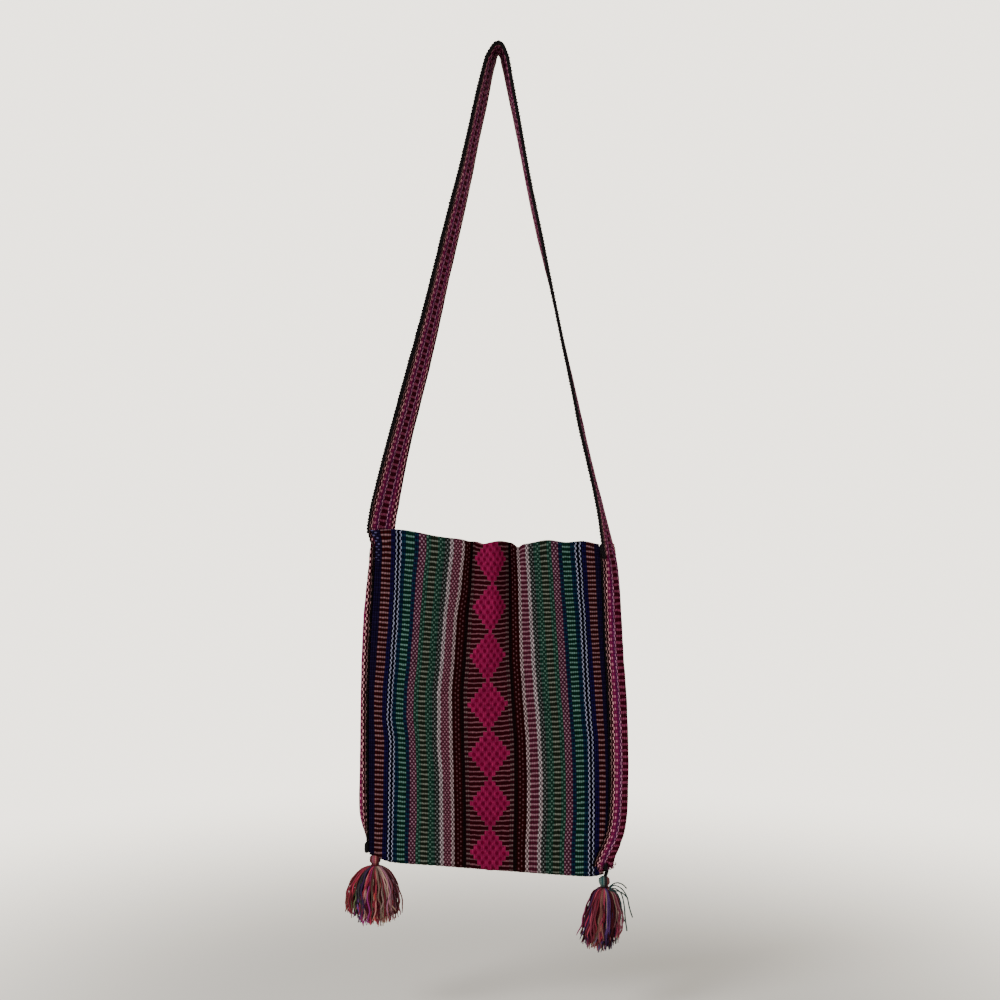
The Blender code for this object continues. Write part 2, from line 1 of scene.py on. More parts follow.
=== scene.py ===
# Looks of the woven striped shoulder bag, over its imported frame.
# Metres, +Z up, the front faces -Y, the origin under the strap's crown.
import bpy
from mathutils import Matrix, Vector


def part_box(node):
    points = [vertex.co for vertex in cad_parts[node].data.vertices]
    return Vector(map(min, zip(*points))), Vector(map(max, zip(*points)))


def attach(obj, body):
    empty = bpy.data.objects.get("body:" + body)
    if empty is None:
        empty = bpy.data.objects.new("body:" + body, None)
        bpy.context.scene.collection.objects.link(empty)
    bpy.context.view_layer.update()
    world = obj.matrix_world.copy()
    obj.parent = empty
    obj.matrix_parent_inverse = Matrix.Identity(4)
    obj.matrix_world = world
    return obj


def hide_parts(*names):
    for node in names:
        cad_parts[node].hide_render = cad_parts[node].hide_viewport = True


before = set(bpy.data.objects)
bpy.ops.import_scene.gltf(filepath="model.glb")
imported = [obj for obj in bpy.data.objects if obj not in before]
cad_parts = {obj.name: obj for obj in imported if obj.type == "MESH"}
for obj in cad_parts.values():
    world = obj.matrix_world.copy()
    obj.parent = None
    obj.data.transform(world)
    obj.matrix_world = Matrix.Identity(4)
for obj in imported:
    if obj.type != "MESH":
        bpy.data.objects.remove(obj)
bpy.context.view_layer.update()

from math import cos, exp, hypot, pi, radians, sin, sqrt
from random import Random
import bpy
import numpy as np
from mathutils import Vector, noise


# Small helpers
def through(points, at):
    # a smooth curve through (place, value) pairs, level at both ends, as in the CAD
    last = len(points) - 1
    if at <= points[0][0]:
        return points[0][1]
    if at >= points[last][0]:
        return points[last][1]
    i = max(k for k in range(last) if points[k][0] <= at)
    width = points[i + 1][0] - points[i][0]
    rise = points[i + 1][1] - points[i][1]

    def slope(k):
        if k in (0, last):
            return 0
        return (points[k + 1][1] - points[k - 1][1]) / (points[k + 1][0] - points[k - 1][0])

    f = (at - points[i][0]) / width
    first, second = slope(i) * width, slope(i + 1) * width
    return (points[i][1] + f * first + f * f * (3 * rise - 2 * first - second)
            + f * f * f * (first + second - 2 * rise))


def hump(x):
    return exp(-x * x)


def ease(x):
    x = min(max(x, 0), 1)
    return x * x * (3 - 2 * x)


def linear(colour):
    # from screen colours of 0 to 255 to the shader's
    parts = [c / 255 for c in colour]
    return [c / 12.92 if c <= 0.04045 else ((c + 0.055) / 1.055) ** 2.4 for c in parts]


def wobble(*place):
    return noise.noise(Vector(place))


# Node helpers
class Maths:
    # adds math nodes to a tree; a value is a number or a socket
    def __init__(self, tree):
        self.tree = tree

    def feed(self, socket, value):
        if isinstance(value, bpy.types.NodeSocket):
            self.tree.links.new(value, socket)
        else:
            socket.default_value = value

    def __call__(self, operation, *values):
        node = self.tree.nodes.new("ShaderNodeMath")
        node.operation = operation
        for socket, value in zip(node.inputs, values):
            self.feed(socket, value)
        return node.outputs[0]

    def smooth(self, value, low, high, start=0.0, end=1.0):
        node = self.tree.nodes.new("ShaderNodeMapRange")
        node.interpolation_type = "SMOOTHSTEP"
        for socket, given in zip(node.inputs, (value, low, high, start, end)):
            self.feed(socket, given)
        return node.outputs[0]

    def mix(self, factor, first, second):
        node = self.tree.nodes.new("ShaderNodeMix")
        node.data_type = "RGBA"
        self.feed(node.inputs["Factor"], factor)
        self.feed(node.inputs["A"], first)
        self.feed(node.inputs["B"], second)
        return node.outputs["Result"]

    def tint(self, colour, factor):
        node = self.tree.nodes.new("ShaderNodeVectorMath")
        node.operation = "SCALE"
        self.feed(node.inputs[0], colour)
        self.feed(node.inputs["Scale"], factor)
        return node.outputs[0]

    def between(self, factor, first, second):
        return self("ADD", first, self("MULTIPLY", factor, self("SUBTRACT", second, first)))

    def line(self, value, start, slope):
        return self("ADD", start, self("MULTIPLY", value, slope))

    def distance(self, x, y):
        return self("SQRT", self("ADD", self("MULTIPLY", x, x), self("MULTIPLY", y, y)))

    def dome(self, value):
        # 1 in the middle, down to 0 where the value reaches 1 or -1
        return self("SQRT", self("MAXIMUM", self("SUBTRACT", 1.0, self("MULTIPLY", value, value)),
                                 0.0))

    def grain(self, x, xScale, y, yScale, detail=2.0):
        # noise over a surface, with its own scale each way
        place = self.tree.nodes.new("ShaderNodeCombineXYZ")
        for socket, value, scale in zip(place.inputs, (x, y), (xScale, yScale)):
            self.feed(socket, self("MULTIPLY", value, scale))
        node = self.tree.nodes.new("ShaderNodeTexNoise")
        for label, value in (("Vector", place.outputs[0]), ("Scale", 1.0), ("Detail", detail)):
            self.feed(node.inputs[label], value)
        return node.outputs["Fac"]

    def parts(self, vector):
        node = self.tree.nodes.new("ShaderNodeSeparateXYZ")
        self.feed(node.inputs[0], vector)
        return node.outputs

    def attribute(self, name, kind):
        node = self.tree.nodes.new("ShaderNodeAttribute")
        node.attribute_name = name
        return node.outputs[kind]


def faceGroup(name, inputs):
    # a node group that takes (name, kind) inputs and puts out a surface's face
    group = bpy.data.node_groups.new(name, "ShaderNodeTree")
    sockets = [("INPUT", *given) for given in inputs]
    sockets += [("OUTPUT", "Color", "Color"), ("OUTPUT", "Roughness", "Float"),
                ("OUTPUT", "Height", "Float")]
    for way, label, kind in sockets:
        group.interface.new_socket(name=label, in_out=way, socket_type="NodeSocket" + kind)
    given = group.nodes.new("NodeGroupInput").outputs
    return group, given, group.nodes.new("NodeGroupOutput").inputs


def facedMaterial(name, group, sources, values):
    # a material whose face is a node group, fed from the piece's own attributes and weave
    made = bpy.data.materials.new(name)
    made.use_nodes = True
    tree = made.node_tree
    link, inputs = tree.links.new, tree.nodes["Principled BSDF"].inputs
    face = tree.nodes.new("ShaderNodeGroup")
    face.node_tree = group
    for label, source, kind in sources:
        link(Maths(tree).attribute(source, kind), face.inputs[label])
    weave = tree.nodes.new("ShaderNodeUVMap")
    weave.uv_map = "weave"
    link(weave.outputs["UV"], face.inputs["Weave"])
    bump = tree.nodes.new("ShaderNodeBump")
    bump.inputs["Strength"].default_value = values["bump"]
    bump.inputs["Distance"].default_value = values["relief"]
    link(face.outputs["Height"], bump.inputs["Height"])
    link(face.outputs["Color"], inputs["Base Color"])
    link(face.outputs["Roughness"], inputs["Roughness"])
    link(bump.outputs["Normal"], inputs["Normal"])
    inputs["Specular IOR Level"].default_value = values["gloss"]
    inputs["Sheen Weight"].default_value = values["sheen"]
    inputs["Sheen Roughness"].default_value = values["sheenRoughness"]
    return made, face


# The bag's form, as in the CAD, in metres; places down a side are shares of its length
form = {
    "thickness": 0.0016, "height": 0.3435, "tilt": 0.0185, "leftLift": 0.0068,
    "rightLift": 0.0062, "liftWidth": 0.0145, "centre": -0.0093, "plane": 0.0006,
    "rounding": 1.25, "leftDrop": 0.5145, "rightDrop": 0.5265, "halfWidth": 0.127,
    "frontLeft": ((0, 0.0016), (0.032, 0.0066), (0.06, 0.0070), (0.30, 0.0028), (0.50, 0.0003),
                  (0.90, 0), (1, 0.0004)),
    "frontRight": ((0, 0.0124), (0.06, 0.0104), (0.30, 0.0070), (0.45, 0.0042), (0.66, 0.0022),
                   (0.80, 0.0028), (0.88, 0.0045), (0.96, 0.0090), (1, 0.0100)),
    "backLeft": ((0, 0.0288), (0.07, 0.0220), (0.25, 0.0090), (0.50, 0.0045), (0.90, 0.0030),
                 (1, 0.0030)),
    "backRight": ((0, -0.0030), (0.30, -0.0040), (0.75, -0.0038), (0.90, 0.0030),
                  (0.96, 0.0090), (1, 0.0110)),
    "leftDepth": ((0, 0.0072), (0.10, 0.0085), (0.50, 0.0100), (0.80, 0.0090), (0.97, 0.0050),
                  (1, 0.0050)),
    "middleDepth": ((0, 0.0092), (0.50, 0.0088), (0.80, 0.0078), (0.97, 0.0048), (1, 0.0048)),
    "rightDepth": ((0, 0.0110), (0.12, 0.0076), (0.30, 0.0042), (0.97, 0.0036), (1, 0.0036)),
    "frontFolds": ((0.003, 0.011, -0.0080, 0.100), (-0.021, 0.009, 0.0045, 0.120),
                   (0.027, 0.008, 0.0052, 0.150), (-0.075, 0.020, -0.0030, 0.240),
                   (0.075, 0.022, -0.0026, 0.300)),
    "backFolds": ((-0.060, 0.018, 0.0060, 0.130), (0.020, 0.020, -0.0040, 0.140),
                  (0.080, 0.016, 0.0040, 0.200)),
}
# Smaller dents that only the looks have: across, down, half width, half height, depth, lean
dents = {
    "front": ((-0.086, 0.190, 0.013, 0.034, 0.0022, 0.25),
              (-0.055, 0.075, 0.009, 0.060, 0.0012, -0.1),
              (0.050, 0.215, 0.016, 0.050, 0.0010, 0.2),
              (-0.020, 0.300, 0.022, 0.028, 0.0011, 0.5),
              (0.096, 0.285, 0.012, 0.036, 0.0012, -0.3),
              (-0.104, 0.310, 0.010, 0.026, 0.0012, 0.3)),
    "back": ((0.030, 0.180, 0.020, 0.060, 0.0016, 0.2),
             (-0.070, 0.240, 0.016, 0.050, 0.0014, -0.2)),
    "ripple": 0.00035,
    # where the front's mouth edge sags (down is positive): across, half width, drop
    "mouth": ((-0.104, 0.030, -0.0056), (-0.030, 0.010, 0.0017), (-0.010, 0.009, 0.0030),
              (0.014, 0.010, -0.0012), (0.0395, 0.0060, 0.0042), (0.052, 0.006, 0.0006),
              (0.076, 0.016, -0.0044), (0.109, 0.014, -0.0038)),
    "mouthReach": 0.016, "backMouth": 0.0060,
}
# Where the front's stripes run: height in mm, then the distance to the right of the crown, in
# mm, of these places across the cloth, in mm from its middle
stripePlaces = (-117.3, -105, -93.25, -82, -53, -39.75, -21, 0, 21, 39.75, 53, 82, 93.25, 105,
                117.3)
stripeDrift = (
    (-530, -116.8, -105.5, -92.8, -79.2, -48.8, -36.6, -24.6, -7.8, 6.9, 20.6, 29.3, 58.6, 70.5,
     83.3, 96.2),
    (-568, -117.8, -106.7, -95.7, -83.1, -52.6, -40.3, -25.6, -5.7, 6.9, 22.5, 31.8, 61.3, 72.9,
     86.3, 97.8),
    (-606, -119.7, -108.6, -97.1, -85.9, -56.2, -45.8, -28.2, -7.5, 6.9, 23.3, 33.9, 63.9, 76.3,
     89.1, 100.0),
    (-644, -122.7, -111.1, -100.1, -88.5, -58.7, -48.0, -30.3, -11.3, 6.9, 24.4, 36.1, 66.5, 78.6,
     91.1, 103.0),
    (-681, -126.1, -113.8, -103.4, -92.3, -62.5, -51.0, -33.0, -11.1, 9.0, 26.7, 38.7, 68.9, 81.1,
     93.0, 105.8),
    (-707, -126.1, -115.2, -104.3, -93.1, -62.3, -50.6, -32.4, -10.6, 10.3, 28.8, 41.1, 71.4, 82.5,
     95.1, 107.0),
    (-732, -124.3, -111.9, -101.7, -90.4, -62.9, -50.1, -32.1, -9.9, 11.9, 30.7, 42.8, 72.9, 84.8,
     97.4, 109.2),
    (-770, -125.2, -112.7, -100.7, -89.5, -60.3, -49.1, -30.9, -9.0, 12.2, 31.9, 44.3, 74.3, 86.1,
     98.0, 110.4),
    (-807, -125.6, -113.4, -102.6, -89.4, -60.0, -48.4, -30.0, -8.5, 11.7, 31.9, 44.3, 74.7, 86.5,
     98.4, 110.9),
    (-845, -126.8, -114.7, -103.1, -91.4, -59.6, -48.1, -30.0, -9.2, 11.1, 30.1, 42.6, 72.7, 85.3,
     98.0, 110.2),
)
# Scales and shifts those places from the picture's plane to the cloth's
driftFit = {"scale": 0.9943, "shift": 0.0002}
clothWidth = 2 * form["halfWidth"]


def mouthZ(u):
    return -(form["leftDrop"] + (form["rightDrop"] - form["leftDrop"]) * sin(pi / 2 * u))


def bottomZ(u):
    lift = form["leftLift"] * hump(u * clothWidth / form["liftWidth"])
    lift += form["rightLift"] * hump((1 - u) * clothWidth / form["liftWidth"])
    return -(form["leftDrop"] + form["height"] + form["tilt"] * u) + lift


def panelLength(u):
    return mouthZ(u) - bottomZ(u)


def halfDepth(u, share):
    left, right = through(form["leftDepth"], share), through(form["rightDepth"], share)
    middle = through(form["middleDepth"], share)
    return left * (1 - u) + right * u + (middle - (left + right) / 2) * 4 * u * (1 - u)


def folds(across, down, front):
    # how far a place of the cloth is pushed backwards
    deep = sum(depth * hump((across - place) / width) * hump(down / length)
               for place, width, depth, length in form["frontFolds" if front else "backFolds"])
    side = 1 if front else -1
    for place, low, width, high, depth, lean in dents["front" if front else "back"]:
        aside = across - place - lean * (down - low)
        deep += side * depth * hump(aside / width) * hump((down - low) / high)
    deep += dents["ripple"] * wobble(across * 45, down * 22, 3 if front else 9)
    return deep


def sideEdges(share, front):
    left, right = (("frontLeft", "frontRight") if front else ("backLeft", "backRight"))
    return (form["centre"] - form["halfWidth"] + through(form[left], share),
            form["centre"] + form["halfWidth"] - through(form[right], share))


def spread(points, ends):
    # spaces a row's points between its ends, closer together where the cloth dents steeply
    steps = [0]
    for a, b in zip(points, points[1:]):
        wide, deep = b.x - a.x, b.y - a.y
        steps.append(steps[-1] + sqrt(max(wide * wide - deep * deep, (0.3 * wide) ** 2)))
    for point, step in zip(points, steps):
        point.x = ends[0] + (ends[1] - ends[0]) * step / steps[-1]
    return points


def drifted(points, columns, ends, share=1.0):
    # moves a row's points to where the stripes run at its height, wholly or by a share
    for point, across in zip(points, columns):
        height = min(max(-point.z * 1000, -stripeDrift[0][0]), -stripeDrift[-1][0])
        k = 0
        while k < len(stripeDrift) - 2 and -stripeDrift[k + 1][0] < height:
            k += 1
        above, below = stripeDrift[k], stripeDrift[k + 1]
        f = (height + above[0]) / (above[0] - below[0])
        f = 0.5 * (ease(f) + f)
        places = [ends[0] * 1000] + [a + (b - a) * f for a, b in zip(above[1:], below[1:])]
        places.append(ends[1] * 1000)
        marks = (-form["halfWidth"] * 1000, *stripePlaces, form["halfWidth"] * 1000)
        x = float(np.interp(across * 1000, marks, places)) / 1000
        x = x * driftFit["scale"] + driftFit["shift"]
        point.x += (x - point.x) * share
    return points


def panelRow(columns, place, front, fine=True):
    points = []
    for across in columns:
        u = across / clothWidth + 0.5
        down = place(u)
        depth = halfDepth(u, down / panelLength(u))
        deep = folds(across, down, front) if fine else 0
        y = form["plane"] + (-depth if front else depth) + deep
        points.append(Vector((across, y, mouthZ(u) - down)))
        if front and fine:
            sag = sum(drop * hump((across - at) / wide) for at, wide, drop in dents["mouth"])
            points[-1].z -= sag * hump(down / dents["mouthReach"])
        elif fine:
            # the back's mouth edge hangs lower than the front's between the two bands
            sag = dents["backMouth"] * (1 - abs(2 * u - 1) ** 5)
            points[-1].z -= sag * hump(down / dents["mouthReach"])
    ends = sideEdges(place(0.5) / panelLength(0.5), front)
    points = spread(points, ends)
    return drifted(points, columns, ends) if front and fine else points


def foldHeight(u):
    return form["rounding"] * halfDepth(u, 1)


def foldRow(columns, angle):
    points = []
    for across in columns:
        u = across / clothWidth + 0.5
        y = form["plane"] - halfDepth(u, 1) * cos(angle)
        points.append(Vector((across, y, bottomZ(u) + foldHeight(u) * (1 - sin(angle)))))
    ends = sideEdges(1, True)
    return drifted(spread(points, ends), columns, ends, ease(2 - 2 * angle / pi))


# Weaving plans
# Colours of yarn, as red, green and blue on a screen
yarn = {
    "black": (24, 10, 12), "night": (23, 15, 47), "tan": (110, 85, 88), "taupe": (92, 78, 72),
    "wine": (46, 9, 18), "brick": (41, 3, 5), "dust": (103, 65, 72), "silver": (190, 165, 170),
    "ash": (82, 63, 66), "crimson": (76, 22, 42), "pink": (149, 104, 120), "soot": (4, 3, 19),
    "shade": (20, 11, 38),
    "pearl": (196, 180, 186), "fog": (92, 78, 84), "coal": (25, 25, 25), "steel": (104, 110, 110),
    "forest": (17, 49, 39), "fern": (76, 107, 96), "sage": (73, 93, 88), "bark": (27, 34, 24),
    "cream": (118, 124, 114), "ruby": (67, 18, 43), "rose": (145, 110, 127), "navy": (21, 22, 51),
    "pine": (3, 39, 29), "mint": (98, 135, 128), "sea": (16, 43, 65), "abyss": (8, 22, 47),
    "white": (173, 177, 209), "ink": (17, 10, 46), "indigo": (23, 14, 65), "rust": (45, 4, 6),
    "salmon": (136, 99, 106), "magenta": (137, 24, 72), "claret": (140, 8, 62), "bar": (67, 2, 20),
    "rung": (138, 88, 100), "peach": (236, 166, 150), "blush": (232, 150, 178),
    "fuchsia": (134, 30, 84), "purple": (92, 18, 76), "lilac": (226, 156, 188),
    "maroon": (62, 4, 24), "mauve": (138, 58, 90), "cocoa": (168, 128, 130), "plum": (108, 30, 84),
    "petal": (250, 180, 190), "brown": (104, 70, 66), "haze": (104, 98, 148),
}
# Each stripe of the cloth from its middle outwards, and of the band from its front edge to its
# back one: width in mm, how many visible columns of yarn, its pattern and its two colours
clothPlan = (
    (21.0, 11, "motif", "magenta", "claret"), (4.2, 2, "dots", "tan", "wine"),
    (3.6, 2, "plain", "black", "black"), (9.0, 6, "pairs", "dust", "brick"),
    (3.9, 3, "beads", "silver", "ash"), (9.2, 5, "check", "pink", "crimson"),
    (4.2, 3, "beads", "pearl", "fog"), (4.7, 3, "check", "steel", "coal"),
    (1.8, 1, "dots", "sage", "forest"), (5.4, 3, "faint", "fern", "forest"),
    (6.6, 4, "rung", "cream", "bark"), (4.9, 2, "faint", "fern", "forest"),
    (7.0, 4, "check", "rose", "ruby"), (3.7, 2, "plain", "navy", "sea"),
    (8.1, 4, "rung", "mint", "pine"), (4.2, 2, "plain", "sea", "abyss"),
    (7.0, 7, "waves", "white", "soot"), (4.5, 2, "plain", "indigo", "ink"),
    (8.6, 4, "rung", "salmon", "rust"), (5.4, 3, "plain", "night", "shade"),
)
bandPlan = (
    (2.8, 2, "plain", "black", "black"), (1.3, 2, "line", "cocoa", "black"),
    (1.0, 1, "plain", "maroon", "brick"), (1.8, 2, "line", "petal", "maroon"),
    (3.2, 3, "spots", "blush", "fuchsia"), (1.5, 1, "plain", "purple", "plum"),
    (1.5, 2, "line", "lilac", "purple"), (6.8, 4, "ladder", "mauve", "maroon"),
    (1.5, 2, "line", "lilac", "purple"), (1.5, 1, "plain", "purple", "plum"),
    (3.2, 3, "spots", "blush", "fuchsia"), (0.8, 1, "plain", "fuchsia", "maroon"),
    (2.7, 2, "line", "petal", "maroon"), (1.1, 1, "plain", "fuchsia", "maroon"),
    (2.3, 2, "plain", "black", "black"),
)
# For each pattern: the shed above which a column's first colour lies on top, so that less of it
# shows with a higher number, and its columns' phases; a column without one is plain
sheds = {
    "motif": (0.5, (0,)), "plain": (0.5, (0,)), "rung": (0.68, (0,)), "dots": (0.62, (0,)),
    "check": (0.66, (0, 0.5)), "faint": (0.62, (0, 0.5)), "beads": (0.45, (0, 0.5)),
    "waves": (0.46, (0, 0.5, None, None, 0, 0.5, None)), "line": (0.53, (0, 0.5)),
    "ladder": (0.58, (0,)), "pairs": (0.66, (None, 0.5, None, 0, None)),
    "spots": (0.60, (None, 0.5, None)),
}


def columnsOf(plan):
    # one entry for each column of yarn: its width, pattern, two colours and phase
    made = []
    for width, count, pattern, first, second in plan:
        phases = sheds[pattern][1]
        for k in range(count):
            shift = phases[k % len(phases)]
            top = second if shift is None else first
            made.append((width / count / 1000, pattern, top, second, shift or 0))
    return made


# The woven face as a node group
def wovenFace():
    group, given, result = faceGroup("WovenFace", (
        ("First", "Color"), ("Second", "Color"), ("Bar", "Color"), ("Rung", "Color"),
        ("Plan", "Vector"), ("Weave", "Vector")))
    m, f, d = Maths(group), weaveFacts, motifFacts
    plan, weave = m.parts(given["Plan"]), m.parts(given["Weave"])
    phase, duty, motif = plan[0], plan[1], plan[2]
    u, v = weave[0], weave[1]
    column, inColumn = m("FLOOR", u), m("FRACT", u)
    uneven = m.grain(column, 0.31, v, 0.37)
    v = m("ADD", v, m("MULTIPLY", m("SUBTRACT", uneven, 0.5), f["uneven"]))
    # the two sheds: which of the column's colours lies on top
    turn = m("ADD", m("MULTIPLY", v, pi), m("MULTIPLY", phase, 2 * pi))
    shed = m.line(m("COSINE", turn), 0.5, 0.5)
    top = m.smooth(shed, m("SUBTRACT", duty, f["blur"]), m("ADD", duty, f["blur"]))
    floating = m.smooth(m("ABSOLUTE", m("SUBTRACT", shed, duty)), 0.0, 0.34)
    rounding = m.dome(m("SUBTRACT", m("MULTIPLY", inColumn, 2.0), 1.0))
    bead = m("MULTIPLY", m("POWER", rounding, f["beadPower"]), m.line(floating, 0.35, 0.65))
    plainColour = m.mix(top, given["Second"], given["First"])
    # the diamonds: cells two columns wide and two picks high
    cellAcross = m("DIVIDE", m("ADD", m("SUBTRACT", u, d["middleColumn"]), 1.0), 2.0)
    cellDown = m("DIVIDE", m("SUBTRACT", v, d["firstTip"]), 2.0)
    cell, row = m("FLOOR", cellAcross), m("FLOOR", cellDown)
    inCell, inRow = m("FRACT", cellAcross), m("FRACT", cellDown)
    step = m("FLOORED_MODULO", row, d["rows"])
    reach = m("MINIMUM", step, m("SUBTRACT", d["rows"], step))
    inside = m("LESS_THAN", m("ABSOLUTE", cell), m("ADD", reach, 0.5))
    odd = m("GREATER_THAN", m("FLOORED_MODULO", m("ADD", cell, reach), 2.0), 0.5)
    aside = m("DIVIDE", m("SUBTRACT", inCell, 0.5), d["dotWidth"])
    away = m("DIVIDE", m("SUBTRACT", inRow, 0.5), d["dotHeight"])
    dot = m("MULTIPLY", odd, m.smooth(m.distance(aside, away), 0.80, 1.15, 1.0, 0.0))
    nearEdge = m("MINIMUM", inRow, m("SUBTRACT", 1.0, inRow))
    rung = m.smooth(nearEdge, d["rung"] - 0.05, d["rung"] + 0.05, 1.0, 0.0)
    motifColour = m.mix(inside, m.mix(rung, given["Bar"], given["Rung"]),
                        m.mix(dot, given["First"], given["Second"]))
    raised = m("ADD", 0.35, m("MULTIPLY", m("SUBTRACT", 1.0, dot), m.line(m.dome(away), 0.35, 0.3)))
    motifBead = m("MULTIPLY", m("POWER", rounding, f["motifPower"]),
                  m.between(inside, m.line(rung, 0.30, 0.3), raised))
    height = m.between(motif, bead, motifBead)
    # uneven dye from yarn to yarn and along each yarn, a twist across it, and painted shade in the
    # gaps
    dye = m.grain(column, 3.7, v, 0.09, 3.0)
    twist = m("SINE", m("ADD", m("MULTIPLY", v, 21.0), m("MULTIPLY", inColumn, 9.0)))
    fuzz = m.grain(u, 6.0, v, 2.6, 4.0)
    each = m.grain(column, 5.13, m("FLOOR", v), 3.71, 0.0)
    # painted shade: the beads' and floats' height darkens the colour in the gaps between them, and
    # the twist its grooves
    shade = m.line(height, *f["height"])
    for value, name in ((dye, "dye"), (twist, "twist"), (fuzz, "fuzz"), (each, "each")):
        shade = m("MULTIPLY", shade, m.line(value, *f[name]))
    fine = m("ADD", m("MULTIPLY", twist, f["twistRelief"]), m("MULTIPLY", fuzz, f["fuzzRelief"]))
    m.feed(result["Color"], m.tint(m.mix(motif, plainColour, motifColour), shade))
    m.feed(result["Roughness"], m.line(fuzz, *f["rough"]))
    m.feed(result["Height"], m("ADD", height, fine))
    return group


# How uneven the picks lie, how softly one colour meets the next, how square the beads are, and for
# each thing that sets the yarn's colour (painted shade by height and twist, uneven dye, fuzz and
# each yarn's tone): its factor at 0 and what it adds up to 1
weaveFacts = {"uneven": 0.80, "blur": 0.10, "beadPower": 1.6, "motifPower": 0.4,
              "height": (0.16, 0.92), "dye": (0.72, 0.56), "twist": (1.0, 0.07),
              "fuzz": (0.80, 0.40), "each": (0.50, 1.0), "rough": (0.78, 0.16),
              "twistRelief": 0.05, "fuzzRelief": 0.16}
# The row of diamonds: its middle column, the first tip and the height in picks, its dots
motifFacts = {"middleColumn": float(len(columnsOf(clothPlan))), "firstTip": -3.80, "rows": 10.0,
              "dotWidth": 0.50, "dotHeight": 0.40, "rung": 0.14}
wovenGroup = wovenFace()


def wovenMaterial(name, values):
    made, face = facedMaterial(name, wovenGroup, (
        ("First", "yarnFirst", "Color"), ("Second", "yarnSecond", "Color"),
        ("Plan", "yarnPlan", "Vector")), values)
    for label in ("Bar", "Rung"):
        face.inputs[label].default_value = (*linear(yarn[label.lower()]), 1)
    return made


def yarnFace():
    # a plied yarn: slanting plies with painted shade in the grooves between them, fuzz and uneven
    # dye, on the tube's own length and turn
    group, given, result = faceGroup("PliedYarn", (
        ("Dye", "Color"), ("Tone", "Float"), ("Weave", "Vector")))
    m, f = Maths(group), yarnFacts
    weave = m.parts(given["Weave"])
    around, along = weave[0], weave[1]
    slant = m("ADD", m("MULTIPLY", around, f["plies"]), m("MULTIPLY", along, f["slant"]))
    ply = m("SINE", m("MULTIPLY", slant, 2 * pi))
    fuzz = m.grain(around, 9.0, along, 1.7, 4.0)
    dye = m.grain(given["Tone"], 1.0, along, 0.05)
    # painted shade: the colour darkens in the grooves between the slanting plies
    shade = m.line(ply, *f["ply"])
    for value, name in ((dye, "dye"), (fuzz, "fuzz")):
        shade = m("MULTIPLY", shade, m.line(value, *f[name]))
    m.feed(result["Color"], m.tint(given["Dye"], shade))
    m.feed(result["Roughness"], m.line(fuzz, *f["rough"]))
    m.feed(result["Height"], m.line(fuzz, ply, f["fuzzRelief"]))
    return group


# ply: the painted shade in the grooves between plies, as its factor at 0 and what it adds up to 1
yarnFacts = {"plies": 2.0, "slant": 0.55, "ply": (0.74, 0.20), "dye": (0.70, 0.60),
             "fuzz": (0.80, 0.40), "rough": (0.80, 0.15), "fuzzRelief": 0.5}
yarnGroup = yarnFace()
yarnFinish = {"bump": 0.7, "relief": 0.0003, "gloss": 0.10, "sheen": 0.03,
              "sheenRoughness": 0.6}


def yarnMaterial(name):
    sources = (("Dye", "dye", "Color"), ("Tone", "tone", "Fac"))
    return facedMaterial(name, yarnGroup, sources, yarnFinish)[0]


# Mesh helpers
def meshPiece(name, verts, faces, weave, layers, material):
    # layers: name, kind, what carries it, key and values
    mesh = bpy.data.meshes.new(name)
    mesh.from_pydata(verts, [], faces)
    mesh.uv_layers.new(name="weave").data.foreach_set("uv", weave)
    for label, kind, carrier, key, values in layers:
        mesh.attributes.new(label, kind, carrier).data.foreach_set(key, values)
    mesh.polygons.foreach_set("use_smooth", [True] * len(mesh.polygons))
    mesh.materials.append(material)
    made = bpy.data.objects.new(name, mesh)
    bpy.context.scene.collection.objects.link(made)
    return made


def settle(made, body, slotName, *nodes):
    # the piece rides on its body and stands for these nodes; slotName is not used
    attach(made, body)
    if nodes:
        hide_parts(*nodes)
    return made


def clothMesh(name, rows, weave, columns, thickness, material):
    # rows of points across; weave(i, j) gives the pattern's coordinates; columns the yarns' plan
    across, along = len(rows[0]), len(rows)
    verts = [tuple(point) for row in rows for point in row]
    faces, spots, first, second, plan = [], [], [], [], []
    for j in range(along - 1):
        for i, (_, pattern, one, two, shift) in enumerate(columns):
            corners = ((i, j), (i, j + 1), (i + 1, j + 1), (i + 1, j))
            faces.append([b * across + a for a, b in corners])
            for a, b in corners:
                spots += weave(a, b)
            first += [*linear(yarn[one]), 1]
            second += [*linear(yarn[two]), 1]
            plan += [shift, sheds[pattern][0], float(pattern == "motif")]
    made = meshPiece(name, verts, faces, spots, (
        ("yarnFirst", "FLOAT_COLOR", "FACE", "color", first),
        ("yarnSecond", "FLOAT_COLOR", "FACE", "color", second),
        ("yarnPlan", "FLOAT_VECTOR", "FACE", "vector", plan)), material)
    solid = made.modifiers.new("Thickness", "SOLIDIFY")
    solid.thickness = thickness
    solid.offset = 0
    return made


